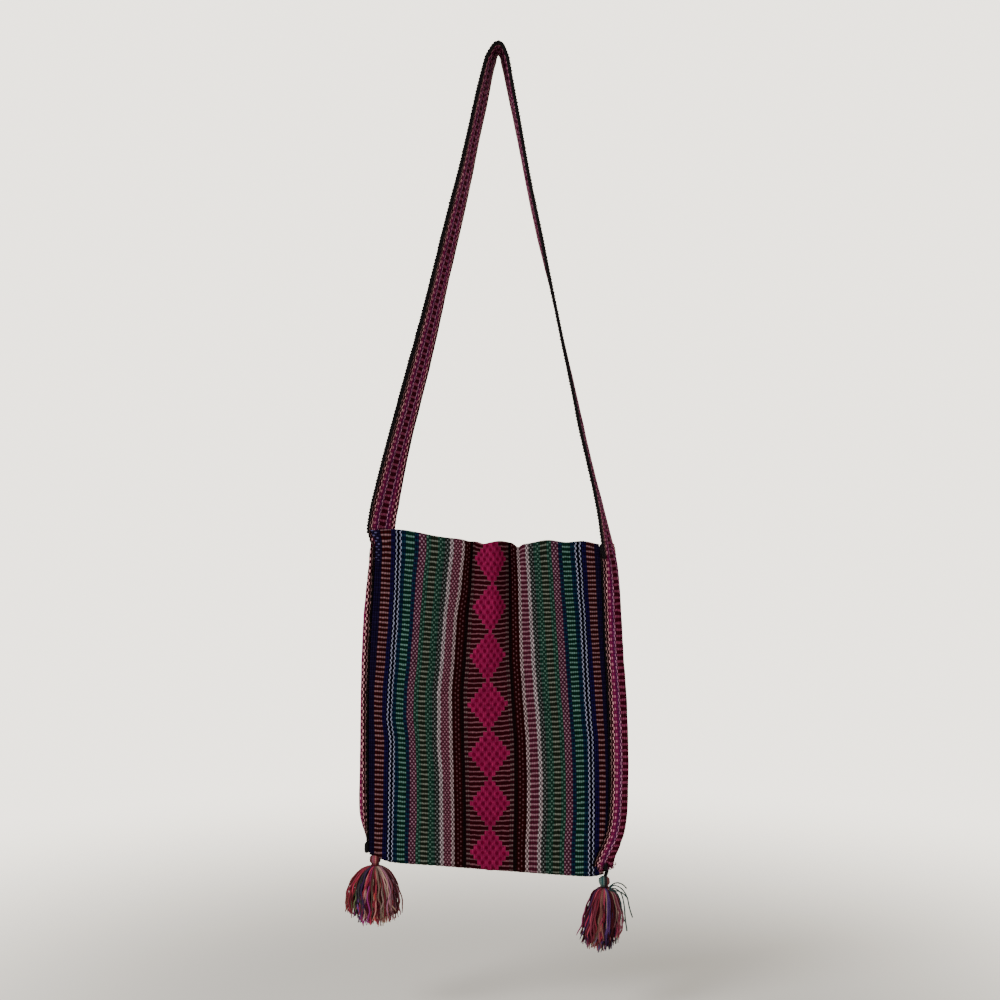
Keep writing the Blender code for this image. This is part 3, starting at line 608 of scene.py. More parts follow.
def tubes(name, strands, material, sides=6):
    # one mesh of many yarns; a strand is (points, radii, colour)
    verts, faces, spots, tones, dyes = [], [], [], [], []
    for number, (points, radii, colour) in enumerate(strands):
        radii = radii if hasattr(radii, "__len__") else [radii] * len(points)
        points = [Vector(point) for point in points]
        ways = [(points[min(k + 1, len(points) - 1)] - points[max(k - 1, 0)]).normalized()
                for k in range(len(points))]
        side = ways[0].orthogonal().normalized()
        start, length = len(verts), 0
        lengths = []
        for k, (point, way, radius) in enumerate(zip(points, ways, radii)):
            side = (side - way * side.dot(way)).normalized()
            other = way.cross(side)
            if k:
                length += (point - points[k - 1]).length * 1000
            lengths.append(length)
            for s in range(sides):
                turn = 2 * pi * s / sides
                verts.append(point + (side * cos(turn) + other * sin(turn)) * radius)
                tones.append(number * 1.37)
        for k in range(len(points) - 1):
            for s in range(sides):
                a, b = start + k * sides + s, start + k * sides + (s + 1) % sides
                faces.append((a, b, b + sides, a + sides))
                spots += [s / sides, lengths[k], (s + 1) / sides, lengths[k],
                          (s + 1) / sides, lengths[k + 1], s / sides, lengths[k + 1]]
        for k, order in ((0, -1), (len(points) - 1, 1)):
            ring = [start + k * sides + s for s in range(sides)][::order]
            faces.append(ring)
            spots += [0.5, lengths[k]] * sides
        dyes += [*linear(colour), 1] * ((len(points) - 1) * sides + 2)
    return meshPiece(name, verts, faces, spots, (
        ("tone", "FLOAT", "POINT", "value", tones), ("dye", "FLOAT_COLOR", "FACE", "color", dyes)),
        material)


def rounded(marks, count=6):
    # a smooth curve through the marks
    marks = [2 * marks[0] - marks[1], *marks, 2 * marks[-1] - marks[-2]]
    points = []
    for a, b, c, d in zip(marks, marks[1:], marks[2:], marks[3:]):
        for n in range(count):
            f = n / count
            points.append(0.5 * (2 * b + (c - a) * f + (2 * a - 5 * b + 4 * c - d) * f * f
                                 + (3 * b - a - 3 * c + d) * f ** 3))
    return [*points, marks[-2]]


def coil(path, radius, pitch, perTurn=8, start=0.0):
    # a yarn wound round a path: points of the helix; radius may depend on the place, 0 to 1
    total, lengths = 0, [0]
    for a, b in zip(path, path[1:]):
        total += (b - a).length
        lengths.append(total)
    count = max(2, round(total / pitch * perTurn))
    points, k = [], 0
    way = (path[1] - path[0]).normalized()
    side = way.orthogonal().normalized()
    for n in range(count + 1):
        at = total * n / count
        while k < len(path) - 2 and lengths[k + 1] < at:
            k += 1
        f = (at - lengths[k]) / max(lengths[k + 1] - lengths[k], 1e-9)
        way = (path[k + 1] - path[k]).normalized()
        side = (side - way * side.dot(way)).normalized()
        other = way.cross(side)
        reach = radius(n / count) if callable(radius) else radius
        turn = 2 * pi * (n / perTurn + start)
        points.append(path[k].lerp(path[k + 1], f)
                      + (side * cos(turn) + other * sin(turn)) * reach)
    return points


# The striped cloth
# flat: the whole cloth spread out. pick: the height of one pick. Then its face, the ribs of its
# stripes, its diamonds, and the rows of pale flecks at the mouth.
clothValues = {
    "thickness": 0.0016, "flat": (0.254, 0.702), "panelRows": 104, "foldRows": 14,
    "foldArc": 0.0055, "pick": 0.002565, "bump": 0.8, "relief": 0.0006, "gloss": 0.03,
    "sheen": 0.0, "sheenRoughness": 0.6, "rib": 0.00030, "diamondRelief": 0.0007,
    "diamondPitch": 0.0513, "firstDiamond": 0.0185, "diamondReach": 0.0210,
    "motifReach": 0.0205, "fleckRows": 9,
}
# How far the picks have slipped up or down at mid height: share of the width, metres down
pickBow = ((0, 0), (0.25, 0.0016), (0.42, 0.0000), (0.80, -0.0100), (1, -0.0115))


def stripeBorders(half):
    # columns' borders across the cloth from left to right, and what each column is woven of
    edges = [0]
    for columnWidth, *_ in half:
        edges.append(edges[-1] + columnWidth)
    borders = [-x for x in reversed(edges[1:])] + edges
    return borders, half[::-1] + half


def diamondShare(across, down):
    # how far inside a diamond a point lies, 0 at its sides, 1 at its middle
    pitch = clothValues["diamondPitch"]
    at = ((down - clothValues["firstDiamond"]) / pitch + 0.5) % 1 - 0.5
    return 1 - abs(across) / clothValues["diamondReach"] - abs(at) * 2


def buildCloth():
    v = clothValues
    half = columnsOf(clothPlan)
    borders, woven = stripeBorders(half)
    # the crimson stripe is checked to the left of the motif and in rungs to its right
    for k in range(len(half), len(woven)):
        columnWidth, _, first, second, _ = woven[k]
        if first == "pink":
            woven[k] = (columnWidth, "dots", first, second, 0)

    panelRows, foldRows = v["panelRows"], v["foldRows"]

    def placeAt(share):
        return lambda u: share * (panelLength(u) - foldHeight(u))

    rows = [panelRow(borders, placeAt(j / panelRows), True) for j in range(panelRows + 1)]
    rows += [foldRow(borders, pi * j / foldRows) for j in range(1, foldRows)]
    rows += [panelRow(borders, placeAt(1 - j / panelRows), False) for j in range(panelRows + 1)]
    # how far down the cloth each point's pick lies
    picks = []
    arc = pi / 2 * v["foldArc"]
    for j in range(len(rows)):
        line = []
        for across in borders:
            u = across / clothWidth + 0.5
            length = panelLength(u) - foldHeight(u)
            if j <= panelRows:
                down = length * j / panelRows
            elif j < panelRows + foldRows:
                down = length + arc * (1 - abs(2 * (j - panelRows) / foldRows - 1))
            else:
                down = length * (1 - (j - panelRows - foldRows) / panelRows)
            slip = through(pickBow, u) * sin(pi * min(down / length, 1))
            line.append(down - slip)
        picks.append(line)
    # the ribs of the stripes and the diamonds stand out of the cloth
    lift = []
    for j in range(len(rows)):
        before, after = rows[max(j - 1, 0)], rows[min(j + 1, len(rows) - 1)]
        lifted = []
        for i, across in enumerate(borders):
            left, right = rows[j][max(i - 1, 0)], rows[j][min(i + 1, len(borders) - 1)]
            out = (right - left).cross(before[i] - after[i])
            rise = v["rib"] * ribAt(across)
            if abs(across) < v["motifReach"]:
                rise += v["diamondRelief"] * ease(diamondShare(across, picks[j][i]) * 5)
            lifted.append(out.normalized() * rise)
        lift.append(lifted)
    rows = [[point + up for point, up in zip(row, ups)] for row, ups in zip(rows, lift)]

    def weave(i, j):
        return (float(i), picks[j][i] / v["pick"])

    made = clothMesh("bag_cloth", rows, weave, woven, v["thickness"],
                     wovenMaterial("Striped cloth", v))
    # pale flecks in the dark edge stripe near the top left corner
    first, plan = (made.data.attributes[label].data for label in ("yarnFirst", "yarnPlan"))
    for j in range(v["fleckRows"]):
        for i in (0, 1):
            first[j * len(woven) + i].color = (*linear(yarn["haze"]), 1)
            plan[j * len(woven) + i].vector = (0.5 * i, 0.80 + 0.015 * j, 0)
    settle(made, "bag", "striped_cloth", "body_cloth")
    return made


def ribAt(across):
    # every stripe stands a little proud in its middle
    at = abs(across) * 1000
    edge = 0
    for width, *_ in clothPlan:
        if at <= edge + width:
            return sin(pi * (at - edge) / width)
        edge += width
    return 0


cloth = buildCloth()
print("Striped cloth:", len(cloth.data.polygons), "faces")


# The band: gussets and strap
bandForm = {
    "thickness": 0.0020, "width": 0.033, "gap": 0.0004,
    # how far the strap leans to the front at its crown, at what height and over what length
    "tilt": 0.12, "tiltHeight": -0.006, "tiltReach": 0.03,
    # blend: over how many rows the strap turns into the gusset. end: how far above the bottom
    # it stops. gather: what share of its width is left there. Then along each gusset from the
    # mouth down: its open width, how far its fold turns to the front in degrees, how far the
    # fold lies beyond the middle, and how far its front edge laps over the front cloth.
    "left": {"blend": 26, "end": 0.0110, "gather": 0.34, "gatherLength": 0.024,
             "width": ((0, 0.0300), (0.15, 0.0294), (0.35, 0.0290), (0.6, 0.0285), (1, 0.0285)),
             "turn": ((0, 32), (0.1, 40), (0.3, 36), (0.6, 28), (1, 28)),
             "skew": ((0, 0), (1, 0)), "lap": ((0, 0), (1, 0))},
    "right": {"blend": 18, "end": 0.0065, "gather": 0.96, "gatherLength": 0.010,
              "width": ((0, 0.0266), (0.05, 0.0282), (0.3, 0.0280), (0.6, 0.0332), (0.8, 0.0335),
                        (0.9, 0.0345), (1, 0.0360)),
              "turn": ((0, 8), (0.2, 30), (0.45, 22), (0.7, 12), (1, 10)),
              "skew": ((0, 0.1), (0.2, 0.5), (0.5, 0.8), (0.8, 0.95), (1, 0.95)),
              "lap": ((0, 0), (0.78, 0), (0.88, 0.0020), (0.95, 0.0084), (1, 0.0105))},
}
# The strap's middle line from the left mouth corner over the hook to the right one: right of
# the crown and down in mm, and the degrees its face is turned from the front
strapRun = (
    (-122.6, -507, 50), (-118.3, -482, 48), (-105.1, -423, 49), (-90.2, -365, 50),
    (-75.2, -307, 55), (-61.4, -249, 61), (-52.4, -211, 62), (-43.4, -174, 64),
    (-34.4, -136.5, 68), (-26.3, -98.7, 71), (-18.0, -60.9, 71), (-9.8, -24.2, 76),
    (-6.9, -16, 79), (-4.9, -10.8, 83), (-2.6, -7.0, 87), (0, -5.6, 90), (2.5, -7.0, 93),
    (4.4, -10.8, 95), (5.9, -16, 97), (8.0, -24.2, 98), (15.1, -60.9, 97), (22.4, -98.7, 95),
    (29.4, -136.5, 94), (36.9, -174, 94), (44.9, -211, 93), (53.4, -249, 89), (66.4, -307, 85),
    (79.2, -365, 82), (87.4, -404, 80), (96.4, -443, 80), (105.6, -482, 78), (110.6, -507, 74),
)
# How the lashing draws the band's right end into two lobes: place to the right, and rise
endLobes = ((0.1030, 0.0010), (0.1067, -0.0028), (0.1114, 0.0030), (0.1177, -0.0018),
            (0.1203, -0.0005), (0.1235, 0.0050))
# drawn: how far the stripes lie towards the back edge on the strap's left side, as a share of
# its width, and up to what share of the strap
bandValues = {"gussetRows": 96, "strapStep": 0.0038, "crownStep": 0.0013, "crownHeight": -0.026,
              "pick": 0.00335, "sewnIn": 0.0006, "sewnRows": 24, "drawn": 0.07, "drawnEnd": 0.46,
              "lobeRows": 5, "ripple": 0.00035, "archSteps": 36, "fitSteps": 22, "bump": 0.9,
              "relief": 0.0008, "gloss": 0.03, "sheen": 0.0, "sheenRoughness": 0.6}
edgeOffset = bandForm["thickness"] / 2 + bandForm["gap"]


def edgePoint(left, front, place):
    ends = panelRow([-form["halfWidth"], form["halfWidth"]], place, front, fine=False)
    return ends[0 if left else 1]


def gussetStation(left, place):
    # the band's front and back edge, the way its fold points, its open width and its skew
    v = bandForm["left" if left else "right"]
    way = Vector((-1 if left else 1, 0, 0))
    front, back = (edgePoint(left, face, place) + way * edgeOffset for face in (True, False))
    u = 0 if left else 1
    share = place(u) / panelLength(u)
    above = panelLength(u) - place(u) - v["end"]
    narrowing = (1 - v["gather"]) * hump(above / v["gatherLength"])
    turn = radians(through(v["turn"], share))
    lap = through(v["lap"], share)
    front = front + Vector((-way.x * lap, -0.5 * lap, 0))
    way = Vector((way.x * cos(turn), -sin(turn), 0))
    return front, back, way, through(v["width"], share) * (1 - narrowing), through(v["skew"], share)


def strapLine():
    # points close together along the strap's run, with their turn
    marks = [Vector((x / 1000, turn, z / 1000)) for x, z, turn in strapRun]
    ends = [gussetStation(left, lambda u: 0) for left in (True, False)]
    for at, end in ((0, ends[0]), (len(marks), ends[1])):
        middle = (end[0] + end[1]) / 2
        marks.insert(at, Vector((middle.x, marks[min(at, len(marks) - 1)].y, middle.z)))
    fine = rounded(marks, 12)
    line, rest = [fine[0]], 0
    for a, b in zip(fine, fine[1:]):
        length = hypot(b.x - a.x, b.z - a.z)
        step = bandValues["crownStep" if b.z > bandValues["crownHeight"] else "strapStep"]
        rest += length
        if rest >= step:
            line.append(b)
            rest = 0
    line[-1] = fine[-1]
    return line, ends


def strapStations():
    line, ends = strapLine()
    stations = []
    for k, mark in enumerate(line):
        before, after = line[max(k - 1, 0)], line[min(k + 1, len(line) - 1)]
        along = Vector((after.x - before.x, 0, after.z - before.z)).normalized()
        turn = radians(mark.y)
        tilt = -bandForm["tilt"] * hump((mark.z - bandForm["tiltHeight"]) / bandForm["tiltReach"])
        across = Vector((cos(turn), sin(turn), tilt))
        across = (across - along * across.dot(along)).normalized() * bandForm["width"] / 2
        point = Vector((mark.x, 0, mark.z))
        stations.append([point - across, point + across])
    count, made = len(stations), []
    shifts = [[end[face] - stations[row][face] for face in (0, 1)]
              for end, row in ((ends[0], 0), (ends[1], -1))]
    for k, station in enumerate(stations):
        side = 0 if k < count / 2 else 1
        blend = bandForm["right" if side else "left"]["blend"]
        near = 1 - ease(min(k, count - 1 - k) / blend) ** 0.6
        front, back = (station[face] + shifts[side][face] * near for face in (0, 1))
        width = ends[side][3] + (bandForm["width"] - ends[side][3]) * (1 - near)
        made.append((front, back, ends[side][2], width, 0))
    return made[1:-1]


def bandRow(station, shares):
    # points across the band, which arches from edge to edge with its own width
    front, back, way, width, skew = station
    middle, half = (front + back) / 2, (back - front) / 2

    def arch(height):
        turns = [pi * k / bandValues["archSteps"] for k in range(bandValues["archSteps"] + 1)]
        return [middle - half * cos(t) + way * height * sin(t) * (1 - skew * cos(t)) for t in turns]

    def lengths(points):
        total = [0]
        for a, b in zip(points, points[1:]):
            total.append(total[-1] + (b - a).length)
        return total

    low, high = 0, width
    for _ in range(bandValues["fitSteps"]):
        height = (low + high) / 2
        if lengths(arch(height))[-1] < width:
            low = height
        else:
            high = height
    points = arch(low)
    total = lengths(points)
    row, k = [], 0
    for share in shares:
        at = share * total[-1]
        while k < len(points) - 2 and total[k + 1] < at:
            k += 1
        row.append(points[k].lerp(points[k + 1], (at - total[k]) / (total[k + 1] - total[k])))
    return row


def gussetPlaces(left):
    count = bandValues["gussetRows"]
    end = bandForm["left" if left else "right"]["end"]
    return [lambda u, f=k / count: f * (panelLength(u) - end) for k in range(count + 1)]


def buildBand():
    v = bandValues
    woven = columnsOf(bandPlan)
    total = sum(entry[0] for entry in woven)
    shares = [0]
    for entry in woven:
        shares.append(min(1, shares[-1] + entry[0] / total))
    sewnIn = v["sewnIn"] / bandForm["width"]
    edge = bandPlan[0][0] / 1000 / bandForm["width"]
    sewn = [float(np.interp(share, (0, edge, 1 - edge, 1), (0, sewnIn, 1 - sewnIn, 1)))
            for share in shares]
    stations = [gussetStation(True, place) for place in reversed(gussetPlaces(True))]
    first = len(stations)
    stations += strapStations()
    last = len(stations)
    stations += [gussetStation(False, place) for place in gussetPlaces(False)]
    # the black selvedges are sewn in along the gussets, and come out along the strap
    rows = []
    for k, station in enumerate(stations):
        out = ease(min(k - first, last - k) / v["sewnRows"])
        up = (k - first) / (last - first)
        drawn = v["drawn"] * out * ease((v["drawnEnd"] - up) * 8)
        places = [a + (b - a) * out for a, b in zip(sewn, shares)]
        rows.append(bandRow(station, [at + drawn * 4 * at * (1 - at) for at in places]))
    for k in range(v["lobeRows"]):
        for point in rows[-1 - k]:
            point.z += through(endLobes, point.x) * (1 - k / v["lobeRows"]) ** 1.5
    middle = len(shares) // 2
    lengths = [0]
    for a, b in zip(rows, rows[1:]):
        lengths.append(lengths[-1] + (b[middle] - a[middle]).length)
    rows = [[point + Vector((wobble(d * 60, k * 0.9, 1), wobble(d * 60, k * 0.9, 2),
                             0.4 * wobble(d * 60, k * 0.9, 3))) * v["ripple"]
             for k, point in enumerate(row)] for row, d in zip(rows, lengths)]

    def weave(i, j):
        return (float(i), lengths[j] / v["pick"])

    made = clothMesh("shoulder_band", rows, weave, woven, bandForm["thickness"],
                     wovenMaterial("Band", v))
    settle(made, "bag", "band", "strap_band")
    return made, rows, rows[first - 1:last + 1]


band, bandRows, strapRows = buildBand()
print("Band:", len(band.data.polygons), "faces")


# Overcast edges and seams
# front and back: how far the selvedge's winding reaches from its core, and its yarn's radius
seamValues = {"pitch": 0.0034, "reach": 0.00046, "yarn": 0.00034, "outwards": 0.0002,
              "front": (0.0016, 0.00085), "back": (0.00045, 0.00045), "core": 0.0002,
              "growRows": 22, "wander": 0.9, "black": (20, 16, 20)}
seamYarn = yarnMaterial("Seam yarn")


def unevenCoil(path, reach, yarnRadius, seed, perTurn=8):
    # a winding of dark yarn that wanders a little off its path
    v = seamValues
    points = coil(path, reach, v["pitch"], perTurn)
    points = [point + Vector((wobble(k * 0.37, seed, 1), wobble(k * 0.37, seed, 2),
                              wobble(k * 0.37, seed, 3))) * yarnRadius * v["wander"]
              for k, point in enumerate(points)]
    return points, yarnRadius, v["black"]


def buildSelvedges():
    v = seamValues
    strands = []
    for number, (name, edge, inner) in enumerate((("front", 0, 2), ("back", -1, -3))):
        reach, yarnRadius = v[name]
        path = [row[edge].lerp(row[inner], 0.25) for row in strapRows]
        grown = [0.70 + 0.30 * ease(min(k, len(path) - 1 - k) / v["growRows"])
                 for k in range(len(path))]
        strands.append(unevenCoil(path, lambda f: reach * grown[round(f * (len(path) - 1))],
                                  yarnRadius, 1 + number, 6))
        strands.append((path, [(reach + v["core"]) * g for g in grown], v["black"]))
    settle(tubes("strap_selvedges", strands, seamYarn), "bag", "seam_yarn")


def seamPath(left, front):
    # along the outer corner between the cloth's edge and the band's
    path = []
    sign = 1 if front else -1
    for place in gussetPlaces(left):
        row = bandRow(gussetStation(left, place), [0, 0.08, 0.5, 0.92, 1])
        row = row if front else row[::-1]
        clothEdge = edgePoint(left, front, place)
        lead = (row[1] - row[0]).normalized()
        outer = Vector((0, -sign, 0))
        side = Vector((-lead.y, lead.x, 0)).normalized()
        if side.dot(outer) < -0.2 or (abs(side.dot(outer)) <= 0.2
                                      and side.x * (-1 if left else 1) < 0):
            side = -side
        way = (outer + side).normalized()
        path.append((row[0] + clothEdge) / 2 + way * seamValues["outwards"])
    return path


def buildSeam(left, front):
    v = seamValues
    name = ("left" if left else "right") + ("_front" if front else "_back") + "_seam"
    path = seamPath(left, front)
    strand = unevenCoil(path, v["reach"], v["yarn"], 5 + left + 2 * front)
    core = (path, [v["reach"] * (1 + 0.4 * hump(k / 2)) for k in range(len(path))], v["black"])
    settle(tubes(name + "_yarn", [strand, core], seamYarn), "bag", "seam_yarn", name)


buildSelvedges()
for isLeft in (True, False):
    for isFront in (True, False):
        buildSeam(isLeft, isFront)

# A tuft of loose seam yarn at the mouth, and where its three ends run, in mm
tuftValues = {"yarn": 0.00045,
              "ends": (((88.2, -9.4, -526.5), (88.6, -10.6, -524.2), (90.2, -10.8, -523.4)),
                       ((88.6, -9.6, -526.2), (87.8, -10.8, -523.9), (88.6, -11.2, -522.2)),
                       ((88.9, -9.4, -526.4), (89.6, -10.9, -525.0), (91.0, -11.0, -525.4)))}
tuft = [(rounded([Vector((x / 1000, y / 1000, z / 1000)) for x, y, z in run]),
         tuftValues["yarn"], seamValues["black"]) for run in tuftValues["ends"]]
settle(tubes("mouth_tuft", tuft, seamYarn), "bag", "seam_yarn")


# threads: where each dark thread starts and ends, to the right in mm, between the heights top
# and low, also in mm. end: where it goes in behind. ends: each short yarn end's place to the
# right and up, its reach, all in mm, and its colour.
cornerValues = {
    "threads": ((110.4, 111.5), (111.4, 112.4), (112.4, 113.0), (113.5, 113.8), (110.8, 110.9),
                (113.0, 114.2)),
    "top": -859.4, "low": -866.0, "lift": 0.0009, "thread": 0.00062, "end": (-0.0012, -0.8680),
    "ends": ((104.6, -865.0, 1.3, "brown"), (106.4, -867.4, 1.2, "mauve"),
             (108.2, -866.8, 1.1, "fuchsia"), (105.6, -862.0, 1.0, "blush"),
             (117.2, -865.4, 1.3, "mauve"), (119.6, -864.2, 1.4, "fuchsia"),
             (121.6, -860.8, 1.4, "mauve"), (115.4, -865.2, 1.1, "plum")),
    "yarn": 0.00048,
}


def onBand(x, z, lift):
    # a point just in front of the band at the right corner; x and z in mm
    near = sorted((point for row in bandRows[-16:] for point in row),
                  key=lambda point: hypot(point.x - x / 1000, point.z - z / 1000) + 2 * point.y)
    return Vector((x / 1000, near[0].y - lift, z / 1000))


def buildCornerStitches():
    # dark threads over the band's gathered right end, and the short cut ends of its own yarns
    v = cornerValues
    strands = []
    for k, (top, low) in enumerate(v["threads"]):
        start = v["top"] - 1.4 * abs(k - 2)
        run = [onBand(top + (low - top) * f, start + (v["low"] - start) * f, v["lift"])
               for f in (0, 0.35, 0.7, 1)]
        run.append(Vector((low / 1000, *v["end"])))
        strands.append((rounded(run), v["thread"], seamValues["black"]))
    settle(tubes("right_corner_stitches", strands, seamYarn), "bag", "seam_yarn")
    knots = []
    for x, z, reach, name in v["ends"]:
        turns = [radians(30 + 50 * n + 13 * x) for n in range(6)]
        loop = [onBand(x + reach * cos(t), z + reach * sin(t), v["lift"] + 0.0001 * n)
                for n, t in enumerate(turns)]
        knots.append((rounded(loop, 3), v["yarn"], yarn[name]))
    settle(tubes("right_corner_ends", knots, yarnMaterial("Band yarn")), "bag", "band")


buildCornerStitches()
print("Seams and selvedges are sewn")


# Corner lashings and ties
# shift: how far the winding lies from the solid it stands for. ends: how thick it is at top and
# bottom beside its middle.
lashingValues = {
    "left": {"radius": 0.0034, "height": 0.0110, "flatten": 1.5, "turns": 6, "yarn": 0.0009,
             "shift": (0.0008, 0, 0.0010)},
    "right": {"radius": 0.0036, "height": 0.0080, "flatten": 1.2, "turns": 5, "yarn": 0.0008,
              "shift": (-0.0012, -0.0012, 0.0012)},
    "ends": 0.80, "uneven": 0.10, "slant": 0.0006, "colour": (18, 14, 20), "core": (10, 8, 10),
}
tieValues = {
    "left": {"radius": 0.0013, "plies": 2, "ply": 0.52, "pitch": 0.0040,
             "ends": (Vector((-0.1293, 0.0006, -0.85330)), Vector((-0.1293, 0.0006, -0.85680)))},
    "right": {"radius": 0.0021, "plies": 3, "ply": 0.50, "pitch": 0.0060,
              "ends": (Vector((0.11399, 0.0006, -0.86890)), Vector((0.11219, 0.0006, -0.87560)))},
    "colour": (16, 13, 18),
}


def buildLashing(side):
    v, w = lashingValues[side], lashingValues
    low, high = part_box(side + "_corner_lashing")
    middle = (low + high) / 2 + Vector(v["shift"])
    high = high + Vector(v["shift"])
    points = []
    count = v["turns"] * 12
    for k in range(count + 1):
        f = k / count
        turn = 2 * pi * v["turns"] * f
        swell = w["ends"] + (1 - w["ends"]) * sin(pi * f) ** 0.6
        reach = (v["radius"] - v["yarn"]) * swell * (1 + w["uneven"] * wobble(k * 0.5, 4, 7))
        z = high.z - v["yarn"] - (v["height"] - 2 * v["yarn"]) * f + w["slant"] * sin(turn + 1)
        points.append(Vector((middle.x + reach * cos(turn),
                              middle.y + reach * v["flatten"] * sin(turn), z)))
    strands = [(points, v["yarn"], w["colour"])]
    reach = v["radius"] - 1.6 * v["yarn"]
    for offset in (-0.55, 0, 0.55):
        aside = (v["flatten"] - 0.6) * v["radius"] * offset
        core = [Vector((middle.x, middle.y + aside, high.z - v["height"] * f))
                for f in (0.04, 0.3, 0.7, 0.96)]
        strands.append((core, [reach * 0.75, reach, reach, reach * 0.75], w["core"]))
    made = tubes(side + "_lashing_yarn", strands, seamYarn, 8)
    settle(made, "bag", "seam_yarn", side + "_corner_lashing")


def buildTie(side):
    v = tieValues[side]
    top, low = v["ends"]
    path = [top.lerp(low, f) + Vector((low.x - top.x, 0, 0)) * (ease(f) - f)
            for f in [k / 10 for k in range(11)]]
    ply = v["radius"] * v["ply"]
    strands = []
    for k in range(v["plies"]):
        points = coil(path, v["radius"] - ply, v["pitch"], 10, start=k / v["plies"])
        strands.append((points, ply, tieValues["colour"]))
    made = tubes(side + "_tie_cord", strands, tieYarn, 8)
    settle(made, side + "_tie", "tie_yarn", side + "_tie")


tieYarn = yarnMaterial("Tie yarn")
for sideName in ("left", "right"):
    buildLashing(sideName)
    buildTie(sideName)


# Tassels
# reach: how far the yarns spread to the left, to the right and to the front and back. lean: how
# far they hang to one side, in all and more for the outer ones. glow: how light they are.
tasselForm = {
    "headRadius": 0.0062, "headHeight": 0.0098, "neckRadius": 0.0034, "binding": 0.0010,
    "gap": 0.0004, "arcYarn": 0.00125, "arcSpread": 0.92, "coreColour": (34, 10, 16),
    "coreForm": ((0.0016, 0.0020), (0.0035, 0.0036), (0.0060, 0.0036)), "coreNeck": 0.0024,
    "windingTurns": 3, "windingReach": 0.0036, "windingYarn": 0.0008, "strand": 0.00082,
    "clumps": 78, "perClump": 4, "steps": 16,
    "left": {"top": Vector((-0.1293, 0.0006, -0.85180)), "length": 0.0610, "swell": 0.6,
             "reach": (0.0304, 0.0258, 0.0190), "seed": 11, "lean": (0.0, 0.0), "glow": 1.14,
             "winding": (96, 20, 34), "headSlot": "crimson"},
    "right": {"top": Vector((0.1111, 0.0006, -0.87480)), "length": 0.0640, "swell": 0.8,
              "reach": (0.0184, 0.0192, 0.0165), "seed": 23, "lean": (-0.0055, 0.0020),
              "glow": 1.02, "winding": (50, 20, 30), "headSlot": "burgundy"},
}
neckLength = 2 * tasselForm["binding"] + 2 * tasselForm["gap"]
# The turn from one lock to the next that spreads them evenly
goldenTurn = 2.39996
strandDyes = {
    "darkRed": ("burgundy", (118, 42, 52)), "brownRed": ("burgundy", (122, 66, 64)),
    "deepRed": ("burgundy", (90, 24, 38)), "crimson": ("crimson", (150, 48, 72)),
    "cherry": ("crimson", (172, 70, 96)), "coral": ("coral", (206, 92, 86)),
    "salmon": ("coral", (190, 124, 116)), "beige": ("beige", (192, 164, 146)),
    "peach": ("beige", (226, 184, 166)), "mauve": ("mauve", (140, 92, 108)),
    "taupe": ("mauve", (154, 120, 114)), "plum": ("plum", (134, 44, 112)),
    "violet": ("plum", (88, 50, 108)), "pinkPlum": ("plum", (172, 60, 122)),
    "sage": ("sage", (128, 134, 100)), "dark": ("sage", (46, 40, 46)),
    "navy": ("navy", (44, 30, 70)), "slate": ("navy", (116, 98, 124)),
    "teal": ("teal", (44, 92, 94)), "greyTeal": ("teal", (106, 130, 124)),
}
# Colours of the hanging yarns from the left edge (-1) to the right (1): up to where, and which
skirtColours = {
    "left": ((-0.80, ("darkRed", "brownRed", "darkRed", "crimson")),
             (-0.64, ("sage", "darkRed", "peach", "sage")),
             (-0.42, ("plum", "violet", "dark", "plum")),
             (-0.20, ("plum", "pinkPlum", "taupe", "plum")),
             (0.02, ("crimson", "taupe", "darkRed", "crimson")),
             (0.20, ("coral", "crimson", "cherry", "coral")),
             (0.38, ("deepRed", "beige", "crimson", "salmon")),
             (0.60, ("beige", "darkRed", "taupe", "crimson")),
             (2.0, ("mauve", "darkRed", "brownRed", "mauve"))),
    "right": ((-0.74, ("pinkPlum", "violet", "crimson", "deepRed")),
              (-0.50, ("crimson", "slate", "deepRed", "cherry")),
              (-0.24, ("crimson", "salmon", "deepRed", "crimson")),
              (0.02, ("crimson", "beige", "cherry", "salmon")),
              (0.22, ("slate", "crimson", "deepRed", "beige")),
              (0.44, ("navy", "navy", "violet", "navy")),
              (0.70, ("navy", "navy", "navy", "deepRed")),
              (2.0, ("cherry", "greyTeal", "mauve", "beige", "pinkPlum", "cherry"))),
}
headColours = {
    "left": ("deepRed", "darkRed", "mauve", "cherry", "salmon", "darkRed", "deepRed", "dark"),
    "right": ("greyTeal", "greyTeal", "teal", "greyTeal", "dark", "dark", "brownRed", "mauve"),
}
# The slots of each tassel's locks in turn, and where the yarns of other slots go
lockSlots = {"left": ("burgundy", "mauve", "beige", "coral", "plum", "sage"),
             "right": ("crimson", "navy", "coral", "teal", "beige", "burgundy")}
nearestSlot = {"crimson": "coral", "navy": "plum", "teal": "sage", "plum": "navy",
               "sage": "teal", "mauve": "burgundy"}
# Loose yarns of the right tassel that stand away from it: right of the crown and down, in mm
strayYarns = (
    ((116.0, 885.5), (120.0, 882.4), (125.0, 881.0), (130.5, 883.0), (134.5, 887.0)),
    ((116.5, 886.5), (121.5, 883.4), (129.5, 887.4), (134.8, 896.0), (137.4, 907.5),
     (140.4, 917.0)),
    ((116.0, 887.0), (122.0, 886.6), (128.5, 892.0), (131.6, 904.0), (132.8, 918.0),
     (134.6, 931.0)),
    ((115.5, 888.0), (121.0, 889.4), (126.4, 896.0), (128.8, 909.0), (131.8, 921.0)),
    ((117.0, 887.5), (123.0, 888.6), (129.0, 890.4), (135.0, 896.0)),
)
strayValues = {"yarn": 0.00070, "colour": (48, 76, 76), "front": -0.0030, "step": -0.0008}
